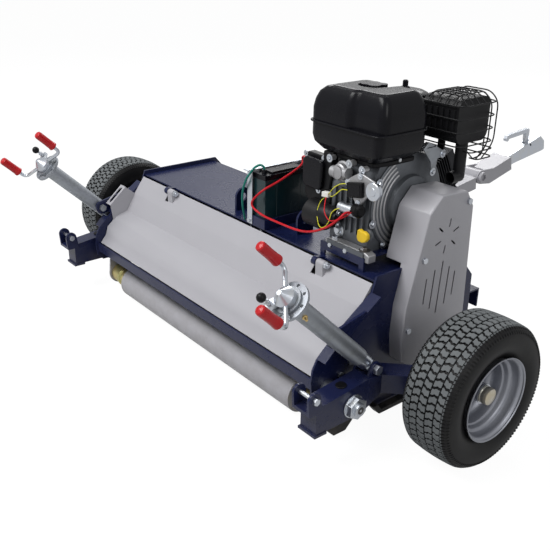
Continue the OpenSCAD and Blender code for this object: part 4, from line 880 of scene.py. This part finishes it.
YELLOW_ROUTES = {
    "a": [(404, -80, 612), (418, -90, 622), (436, -92, 642), (452, -84, 654), (464, -75.5, 656)],
    "b": [(404, -77, 608), (424, -86, 612), (446, -90, 628), (458, -84, 640), (470, -75.5, 640)],
    "c": [(392, -76, 603), (376, -84, 584), (372, -92, 552), (388, -98, 520), (408, -98, 520), (424, -96, 540),
          (428, -90, 566), (438, -84, 578), (450, -80, 584)],
}
for letter, route in YELLOW_ROUTES.items():
    wire("yellow_wire_" + letter, route, 2.6, YELLOW_SHEATH, "yellow_plastic")
wire("thin_red_wire", [(398, -84, 604), (404, -94, 586), (416, -104, 566), (440, -108, 552), (466, -106, 560),
                       (488, -96, 574), (500, -84, 588)], 3.2, RED_SHEATH, "cable_red")
turned("oil_neck", [(0, 17), (6, 17), (8, 13), (18, 13)], (526, -38, 521), BACK, ALLOY, "cast_alloy", steps=28)
plate("oil_wing", [(512, 504), (506, 514), (508, 536), (516, 541), (524, 536), (534, 538), (546, 532), (548, 520),
                   (540, 508), (528, 503)], 1, -68, -55, YELLOW, "yellow_plastic", "oil_fittings", edge=4.0, segments=3)
bolt_heads("drain_plug", [(410, -40.4, 500)], BACK, 17.0, 10.0)
alloy_plate("cast_foot", [(386, 452), (560, 452), (560, 474), (546, 480), (398, 480), (386, 474)], -70, -41, edge=2.5)
bolt_heads("foot_bolts", [(474, -70.4, 465), (412, -70.4, 463)], BACK, 13.0, 8.0)
bolt_heads("foot_top_bolt", [(530, -56, 480.4)], (0, 0, 1), 14.0, 9.0, DARK_STEEL)
turned("crank_cover", [(0, 140), (3, 140), (6, 135), (7, 80), (20, 76), (22, 70)],
       (522.3, CRANK_Y, CRANK_Z), RIGHT, ALLOY, "cast_alloy", steps=64)


def round_crank(x, radius, degrees):
    """A place on a circle round the crankshaft."""
    turn = math.radians(degrees)
    return (x, CRANK_Y + radius * math.cos(turn), CRANK_Z + radius * math.sin(turn))


ribs = bmesh.new()
for radius in (94, 107, 120, 132):
    tube(ribs, [pt(*round_crank(527.5, radius, 118 + 5 * k)) for k in range(27)], 0.0038, 8)
finished(ribs, "crank_cover_ribs", "deck", PALE_ALLOY, "cast_alloy", angle=60.0)
bolt_heads("crank_cover_bolts", [round_crank(528, 139, v) for v in (112, 148, 196, 232)], RIGHT, 11.0, 8.0)
plate("throttle_bracket", [(115, 741), (137, 758), (208, 722), (202, 712), (176, 706), (170, 663), (155, 665),
                           (150, 700), (136, 716)], 0, 556, 560, TUBE_ZINC, "zinc")
plate("bracket_foot", [(522, 741), (560, 741), (560, 745), (522, 745)], 1, 128, 170, ZINC, "zinc", edge=0.8)
bolt_heads("bracket_bolts", [(560.4, 160, 672), (560.4, 196, 718)], RIGHT, 10.0, 6.0)
print("engine side done")

# %% [markdown]
# ## Belt cover, hood strip and engine mount
# The belt cover is folded from one sheet. So an open sheet is built first, its folds get a
# radius, Solidify gives it its gauge, and the slots are cut last, which keeps their edges
# sharp as a laser leaves them. The hood's slotted strip and the open end of the engine
# mount are cut the same way, by a Boolean on copies of the solids.


# %% Folded and cut sheets
COVER_LINE = [(-11, 174), (-20, 247), (-15, 338), (49, 598), (93, 642), (197, 636), (229, 588), (242, 261),
              (228, 150), (30, 140)]
STEP_Z = 449.0
COVER_FACE, COVER_BACK, COVER_LOW_BACK = 660.0, 548.0, 604.4
COVER_FOLD, COVER_GAUGE = 4.0, 2.8
COVER_SLOTS = [((59, 408), (54, 336)), ((91, 427), (83, 314)), ((122, 447), (112, 293)), ((152, 423), (145, 312)),
               ((179, 402), (175, 332))]
COVER_SLOT_WIDTH = 5.0
VENT_Y, VENT_Z, VENT_REACH = 128, 520, (28, 48)
STRIP_SLOT, STRIP_SLOT_WIDTH = ((-618, -224), (-618, -189)), 17.0
MOUNT_MOUTH = [(390, 420), (528, 420), (528, 441), (390, 441)]


def as_cutter(name, work):
    """A closed shape that is kept only until it has cut."""
    mesh = bpy.data.meshes.new(name)
    outward(work).to_mesh(mesh)
    work.free()
    made = bpy.data.objects.new(name, mesh)
    scene.collection.objects.link(made)
    return made


def slot_cutter(name, lines, width, axis, low, high, steps=6):
    """Round-ended bars to cut slots with: each lies between two points and is drawn out along axis."""
    work = bmesh.new()
    for a, b in lines:
        a, b = Vector(a), Vector(b)
        turn = math.atan2(b.y - a.y, b.x - a.x)
        ring = []
        for end, lead in ((b, turn - math.pi / 2), (a, turn + math.pi / 2)):
            for k in range(steps + 1):
                angle = lead + math.pi * k / steps
                ring.append((end.x + math.cos(angle) * width / 2, end.y + math.sin(angle) * width / 2))
        drawn_out(work, ring, axis, low, high)
    return as_cutter(name, work)


def cut_by(made, cutter):
    """Takes the cutter's shape out of a piece."""
    cut = made.modifiers.new("cut", "BOOLEAN")
    cut.operation, cut.solver, cut.object = "DIFFERENCE", "EXACT", cutter
    applied(made)
    bpy.data.objects.remove(cutter)
    smoothed(made.data, 32.0)
    return made


def cover_outline():
    """The cover's outline, with a point on either side where its deeper part ends."""
    points = []
    for (y, z), (after_y, after_z) in zip(COVER_LINE, COVER_LINE[1:] + COVER_LINE[:1]):
        points.append((y, z))
        if (z - STEP_Z) * (after_z - STEP_Z) < 0:
            points.append((y + (after_y - y) * (STEP_Z - z) / (after_z - z), STEP_Z))
    return points


def folded_cover():
    """The belt cover: a face, a wall round it, and a deeper wall above the deck."""
    outline = cover_outline()
    work = bmesh.new()
    face = [work.verts.new(pt(COVER_FACE, y, z)) for y, z in outline]
    low = [work.verts.new(pt(COVER_LOW_BACK, y, z)) for y, z in outline]
    back = {k: work.verts.new(pt(COVER_BACK, y, z)) for k, (y, z) in enumerate(outline) if z >= STEP_Z}
    work.faces.new(face)
    for k in range(len(outline)):
        n = (k + 1) % len(outline)
        work.faces.new((face[k], low[k], low[n], face[n]))
        if k in back and n in back:
            work.faces.new((low[k], back[k], back[n], low[n]))
    first, last = min(back), max(back)
    work.faces.new((low[first], low[last], back[last], back[first]))
    bmesh.ops.recalc_face_normals(work, faces=work.faces)
    if sum(f.normal.x * f.calc_area() for f in work.faces) < 0:
        bmesh.ops.reverse_faces(work, faces=work.faces)
    mesh = bpy.data.meshes.new("belt_cover_sheet")
    work.to_mesh(mesh)
    work.free()
    made = as_object("belt_cover_sheet", mesh, "deck", SILVER, "silver_paint", "belt_cover")
    rounded(made, COVER_FOLD, 3, 20.0)
    gauge = made.modifiers.new("gauge", "SOLIDIFY")
    gauge.thickness, gauge.offset = COVER_GAUGE / 1000.0, -1.0
    applied(made)
    star = []
    for k in range(6):
        turn = math.radians(20 + 60 * k)
        star.append([(VENT_Y + reach * math.cos(turn), VENT_Z + reach * math.sin(turn)) for reach in VENT_REACH])
    return cut_by(made, slot_cutter("cover_cuts", COVER_SLOTS + star, COVER_SLOT_WIDTH, 0, 650.0, 670.0))


cover = folded_cover()
print(cover.name, "faces", len(cover.data.polygons))
hood = dressed("hood", SILVER, 0.0)
cut_by(hood, slot_cutter("strip_slot", [STRIP_SLOT], STRIP_SLOT_WIDTH, 2, 300.0, 440.0))
rounded(hood, 0.9)
mount = dressed("engine_mount", NAVY, 0.0)
cut_by(mount, as_cutter("mount_mouth", drawn_out(bmesh.new(), MOUNT_MOUTH, 1, -90.0, -60.0)))
rounded(mount, 1.4)

# %% [markdown]
# ## Fuel tank and air cleaner
# The tank is two pressed halves joined at a thin seam, with every edge drawn over a large
# radius, so its highlights are broad. Level outlines with rounded corners are lofted into
# each half, the cap's recess is cut with a Boolean, and a bevel rounds what is left. The air
# cleaner behind it is a round case, spun, with a shallow dome and a small knob.


# %% Tank and air cleaner
def bend(points, radius, steps=5):
    """A route through the points with each inner corner rounded."""
    route = [Vector(points[0])]
    for before, corner, after in zip(points, points[1:], points[2:]):
        before, corner, after = Vector(before), Vector(corner), Vector(after)
        reach = min(radius, (before - corner).length * 0.49, (after - corner).length * 0.49)
        a, b = corner + (before - corner).normalized() * reach, corner + (after - corner).normalized() * reach
        for k in range(steps + 1):
            t = k / steps
            route.append(a * (1 - t) ** 2 + corner * 2 * t * (1 - t) + b * t * t)
    return route + [Vector(points[-1])]


def level_outline(x0, x1, y0, y1, z, radius, step=0):
    """A level oblong with rounded corners; step sets the right end of its rear side forward."""
    rear = [(448, y0), (462, y0 + step), (x1, y0 + step)] if step else [(x1, y0)]
    loop = [(x, y, z) for x, y in [(x0, y1), (x0, y0), *rear, (x1, y1)]]
    return bend([loop[-1], *loop, loop[0]], radius)[1:-1]


def loft(name, levels, *replaced, cutter=None, edge=2.0, segments=4, angle=24.0):
    """A closed skin on the deck over level outlines that all have the same number of points."""
    work = bmesh.new()
    skinned(work, [[work.verts.new(pt(*p)) for p in level_outline(*level)] for level in levels])
    made = finished(work, name, "deck", BLACK_SHINY, "black_plastic", *replaced)
    if cutter:
        cut_by(made, cutter)
    return rounded(made, edge, segments, angle)


def recess_cutter():
    """A block over the cap's recess, open towards the front."""
    turns = [math.radians(180 + 12 * k) for k in range(16)]
    ring = [(425 + 43 * math.cos(t), 48 + 43 * math.sin(t)) for t in turns]
    return as_cutter("recess", drawn_out(bmesh.new(), ring + [(500, 124), (388, 124)], 2, 887.5, 915.0))


TANK_UPPER = [(301, 569, -69, 117, 801, 26, 13), (301, 569, -69, 117, 838, 26, 13), (306, 566, -66, 113, 860, 26, 12),
              (316, 560, -60, 106, 880, 24, 12), (334, 550, -51, 98, 894, 22, 10), (356, 540, -40, 88, 900, 20, 8)]
TANK_LOWER = [(330, 540, -50, 98, 722.3, 22), (306, 564, -64, 113, 742, 24), (301, 569, -69, 117, 762, 26),
              (301, 569, -69, 117, 799, 26)]
TANK_SEAM = [(294.5, 575.5, -75.5, 123.5, z, 32) for z in (797.5, 802.5)]
CLEANER = [(0, 52), (105, 52), (109, 64), (112, 68.5), (116, 70), (146, 70), (156, 66), (162, 54), (166, 36),
           (168, 14), (172, 12), (174, 8), (187, 8), (190, 5.5)]
loft("tank_upper", TANK_UPPER, "fuel_tank", cutter=recess_cutter(), edge=2.4)
loft("tank_lower", TANK_LOWER)
loft("tank_seam", TANK_SEAM, edge=1.6, segments=3, angle=20.0)
turned("air_cleaner_case", CLEANER, (405, 194, 706), (0, 0, 1), BLACK_SHINY, "black_plastic", "air_cleaner", steps=72)
print("tank and air cleaner done")

# %% [markdown]
# ## Grips
# The red grips are dipped plastic, short and domed at the end, with a small collar where the
# rod goes in. They take their axes from the solids they stand for.


# %% Grips
GRIP_COLLAR = [(0, 7.2), (0, 13.4), (1.6, 15.0), (7, 15.0), (9, 14.0)]
GRIP_DOME = [(0.45, 13.4), (0.86, 13.6), (0.93, 12.6), (0.965, 9.6), (0.98, NEAR_AXIS)]


def loose_groups(work):
    """The places of each loose part's vertices, largest part first."""
    seen, groups = set(), []
    for first in work.verts:
        if first in seen:
            continue
        seen.add(first)
        group = [first]
        for vertex in group:
            for link in vertex.link_edges:
                other = link.other_vert(vertex)
                if other not in seen:
                    seen.add(other)
                    group.append(other)
        groups.append([v.co.copy() for v in group])
    return sorted(groups, key=len, reverse=True)


def middle(points):
    """The mean of some places."""
    return sum(points, Vector()) / len(points)


def grip_pieces(label):
    """Two grips in the place of the solid ones, a little shorter, with collars."""
    node = "grips_" + label
    source = frame["nodes"][node]
    work = bmesh.new()
    work.from_mesh(source.data)
    bmesh.ops.remove_doubles(work, verts=work.verts, dist=2e-6)
    hub = middle([v.co for v in work.verts])
    for number, group in enumerate(loose_groups(work)[:2]):
        far = max(group, key=lambda p: (p - hub).length)
        near = min(group, key=lambda p: (p - hub).length)
        most = (far - near).length * 0.8
        outer = middle([p for p in group if (p - near).length > most])
        inner = middle([p for p in group if (p - far).length > most])
        axis = (outer - inner).normalized()
        along = [(p - inner).dot(axis) for p in group]
        size = (max(along) - min(along)) * 1000.0
        profile = GRIP_COLLAR + [(size * share, radius) for share, radius in GRIP_DOME]
        spun(profile, inner + axis * min(along), axis, "grip_%s_%d" % (label, number), source["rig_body"],
             RED_GRIP, "red_grip", *([node] if number == 0 else []), steps=32)
    work.free()
    print("grips", label, "length", round(size, 1))


grip_pieces("left")
grip_pieces("right")

# %% [markdown]
# ## Wire guard
# The guard is bent from one size of wire: level loops that pass behind, beside and in front
# of the muffler with round corners, and hoops that come over the top. The loops grow shorter
# towards the bottom, where the last hoops meet below the muffler.


# %% Wire guard
GUARD_WIRE_R = 0.002


def guard_wires():
    """All the wires of the guard as one piece."""
    work = bmesh.new()

    def bent(radius, *points):
        tube(work, [pt(*p) for p in bend(points, radius)], GUARD_WIRE_R, 8)

    for z, start, far in ((857, 474, 484), (821, 474, 484), (785, 474, 484), (749, 480, 500)):
        bent(30.0, (start, 179, z), (626, 179, z), (626, 333, z), (far, 333, z))
    for z, back in ((727, 232), (704, 262)):
        bent(20.0, (600, back, z), (626, back, z), (626, 333, z), (540, 333, z))
    for y in (196, 222, 248, 274):
        bent(22.0, (488, y, 858), (508, y, 882), (600, y, 883), (626, y, 857))
    for y in (300, 326):
        bent(24.0, (488, y, 858), (508, y, 882), (598, y, 883), (627, y, 858), (627, y, 742), (612, y - 24, 700))
    for x in (506, 534, 562, 590):
        bent(18.0, (x, 180, 857), (x, 200, 881), (x, 312, 881), (x, 334, 857), (x, 334, 749))
    for x in (534, 590):
        bent(18.0, (x, 334, 749), (x + 8, 322, 703), (606, 270, 702))
    return finished(work, "guard_wires", "deck", BLACK_PAINT, "black_paint", "muffler_guard", angle=60.0)


print(guard_wires().name, "done")

# %% [markdown]
# ## Jack heads, arms and beads
# The sprung plunger is zinc with a black knob, each tube has a brass grease nipple, and the
# wheel arms carry a black plug on top and the dark end of the pivot shaft in its nut. A weld
# bead joins each outer skid runner to its side plate, and a black strip lies along the deck
# under the hood's edge as painted shade in the gap between the hood and the rear bar.


# %% Jack heads, arms and beads
def bead(name, places, radius, sides, finish, slot):
    """A round bead on the deck through places in millimetres."""
    work = tube(bmesh.new(), [pt(*place) for place in places], radius, sides)
    finished(work, name, "deck", finish, slot, angle=60.0)


TILT = math.radians(46.0)
JACK_AXIS = Vector((0.0, -math.sin(TILT), math.cos(TILT)))
KNOB_FOOT = 0.0475
NIPPLE_DROP, NIPPLE_OUT = 0.046, 0.0245
PIVOT_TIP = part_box("pivot_nuts")[1][0] * 1000.0
NIPPLE = closed([(-2, 7), (3, 7), (4, 5), (8, 4), (12, 3.4)])
ARM_PLUG = [(-2, NEAR_AXIS), (-2, 13), (2.4, 15), (4.0, 13.5), (4.6, NEAR_AXIS)]
PIVOT_END = closed([(-12, 12.4), (-1.5, 12.4), (0, 10.5), (0, 4.0), (-3, 3.2)])
for side, label in ((1, "right"), (-1, "left")):
    head = pt(side * 672, -438, 493)
    knob = bpy.data.objects["plunger_" + label + "_dressed"]
    knob.data.materials.append(ZINC)
    for face in knob.data.polygons:
        if (face.center - head).dot(JACK_AXIS) < KNOB_FOOT:
            face.material_index = 1
    nodes = ("jack_tube_" + label, "arm_" + label, "pivot_nuts")
    jack, arm, nut = (frame["nodes"][node]["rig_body"] for node in nodes)
    out = Vector((0.62 * side, -0.6, 0.2))
    out = (out - JACK_AXIS * out.dot(JACK_AXIS)).normalized()
    spun(NIPPLE, head - JACK_AXIS * NIPPLE_DROP + out * NIPPLE_OUT, out, "grease_nipple_" + label, jack,
         BRASS, "bearing_yellow", steps=16)
    spun(ARM_PLUG, pt(side * 679, -265, 203.6), (0, -0.114, 1), "arm_plug_" + label, arm,
         BLACK, "black_plastic", steps=32)
    spun(PIVOT_END, pt(side * PIVOT_TIP, -250, 153), (side, 0, 0), "pivot_end_" + label, nut,
         DARK_STEEL, "steel", steps=32)
    bead("skid_weld_" + label, [(side * 612.5, y, 25) for y in (-56, 106, 268)], 0.0034, 10, NAVY, "navy_paint")
# A black strip along the gap under the hood's lower edge: painted shade in that gap.
bead("hood_seal", [(x, -288, 188.6) for x in (-596, 0, 596)], 0.004, 12, BLACK, "black_plastic")
print("jack heads, arms and beads done")

# %% [markdown]
# ## Floor and light
# The photograph has a white ground and even light from a large hall. Three wide lamps give
# long soft highlights on the painted tubes, a dim world fills the shade, and the floor's own
# colour makes the white.


# %% Floor and world
def seen_directly(tree):
    """1 for a ray from the camera or through glass, 0.45 for a mirror-like one, 0 for scattered light."""
    rays = tree.nodes.new("ShaderNodeLightPath")
    kinds = ("Camera", "Glossy", "Transmission")
    camera_ray, glossy, through = (Signal(tree, rays.outputs["Is " + kind + " Ray"]) for kind in kinds)
    return (camera_ray + glossy * 0.45 + through).clipped()


def make_floor():
    """A white ground to the camera and in reflections, and a plain grey one for the light that bounces."""
    bpy.ops.mesh.primitive_plane_add(size=30.0, location=(0.0, 0.0, 0.0))
    floor = bpy.context.object
    floor.name = "floor"
    ground = Finish("floor_white", Base_Color=(0.42, 0.42, 0.42), Roughness=0.9, Specular_IOR_Level=0.0)
    tree = ground.tree
    glow = ground.node("ShaderNodeEmission", Color=(1.0, 1.0, 1.0), Strength=1.22)
    mix = tree.nodes.new("ShaderNodeMixShader")
    put(tree, mix.inputs[0], seen_directly(tree) * 0.78)
    tree.links.new(ground.shader.outputs[0], mix.inputs[1])
    tree.links.new(glow.socket, mix.inputs[2])
    tree.links.new(mix.outputs[0], tree.nodes["Material Output"].inputs["Surface"])
    floor.data.materials.append(ground.material)
    return floor


def make_world(fill):
    """A dim world that is plain white where the camera looks past the floor."""
    world = bpy.data.worlds.new("studio")
    scene.world = world
    world.use_nodes = True
    tree = world.node_tree
    tree.nodes.clear()
    soft, seen = tree.nodes.new("ShaderNodeBackground"), tree.nodes.new("ShaderNodeBackground")
    soft.inputs["Color"].default_value = (0.95, 0.97, 1.0, 1.0)
    soft.inputs["Strength"].default_value = fill
    seen.inputs["Color"].default_value = (1.0, 1.0, 1.0, 1.0)
    mix = tree.nodes.new("ShaderNodeMixShader")
    out = tree.nodes.new("ShaderNodeOutputWorld")
    put(tree, mix.inputs[0], seen_directly(tree))
    tree.links.new(soft.outputs[0], mix.inputs[1])
    tree.links.new(seen.outputs[0], mix.inputs[2])
    tree.links.new(mix.outputs[0], out.inputs["Surface"])


def lamp(name, place, target, width, height, watts):
    """A wide lamp at a place, turned to its target."""
    data = bpy.data.lights.new(name, "AREA")
    data.shape = "RECTANGLE"
    data.size, data.size_y, data.energy = width, height, watts
    made = bpy.data.objects.new(name, data)
    made.location = place
    made.rotation_euler = (Vector(target) - Vector(place)).to_track_quat("-Z", "Y").to_euler()
    scene.collection.objects.link(made)
    return made


make_floor()
make_world(0.34)
lamp("key", (-0.6, -3.0, 3.6), (0.1, -0.3, 0.3), 2.6, 1.6, 160.0)
lamp("side", (4.2, -1.2, 2.6), (0.4, 0.0, 0.3), 1.2, 2.4, 40.0)
lamp("back", (-2.5, 2.6, 3.4), (0.0, 0.0, 0.3), 2.8, 1.6, 95.0)
scene.view_settings.view_transform = "Standard"
print("lamps", len(bpy.data.lights))
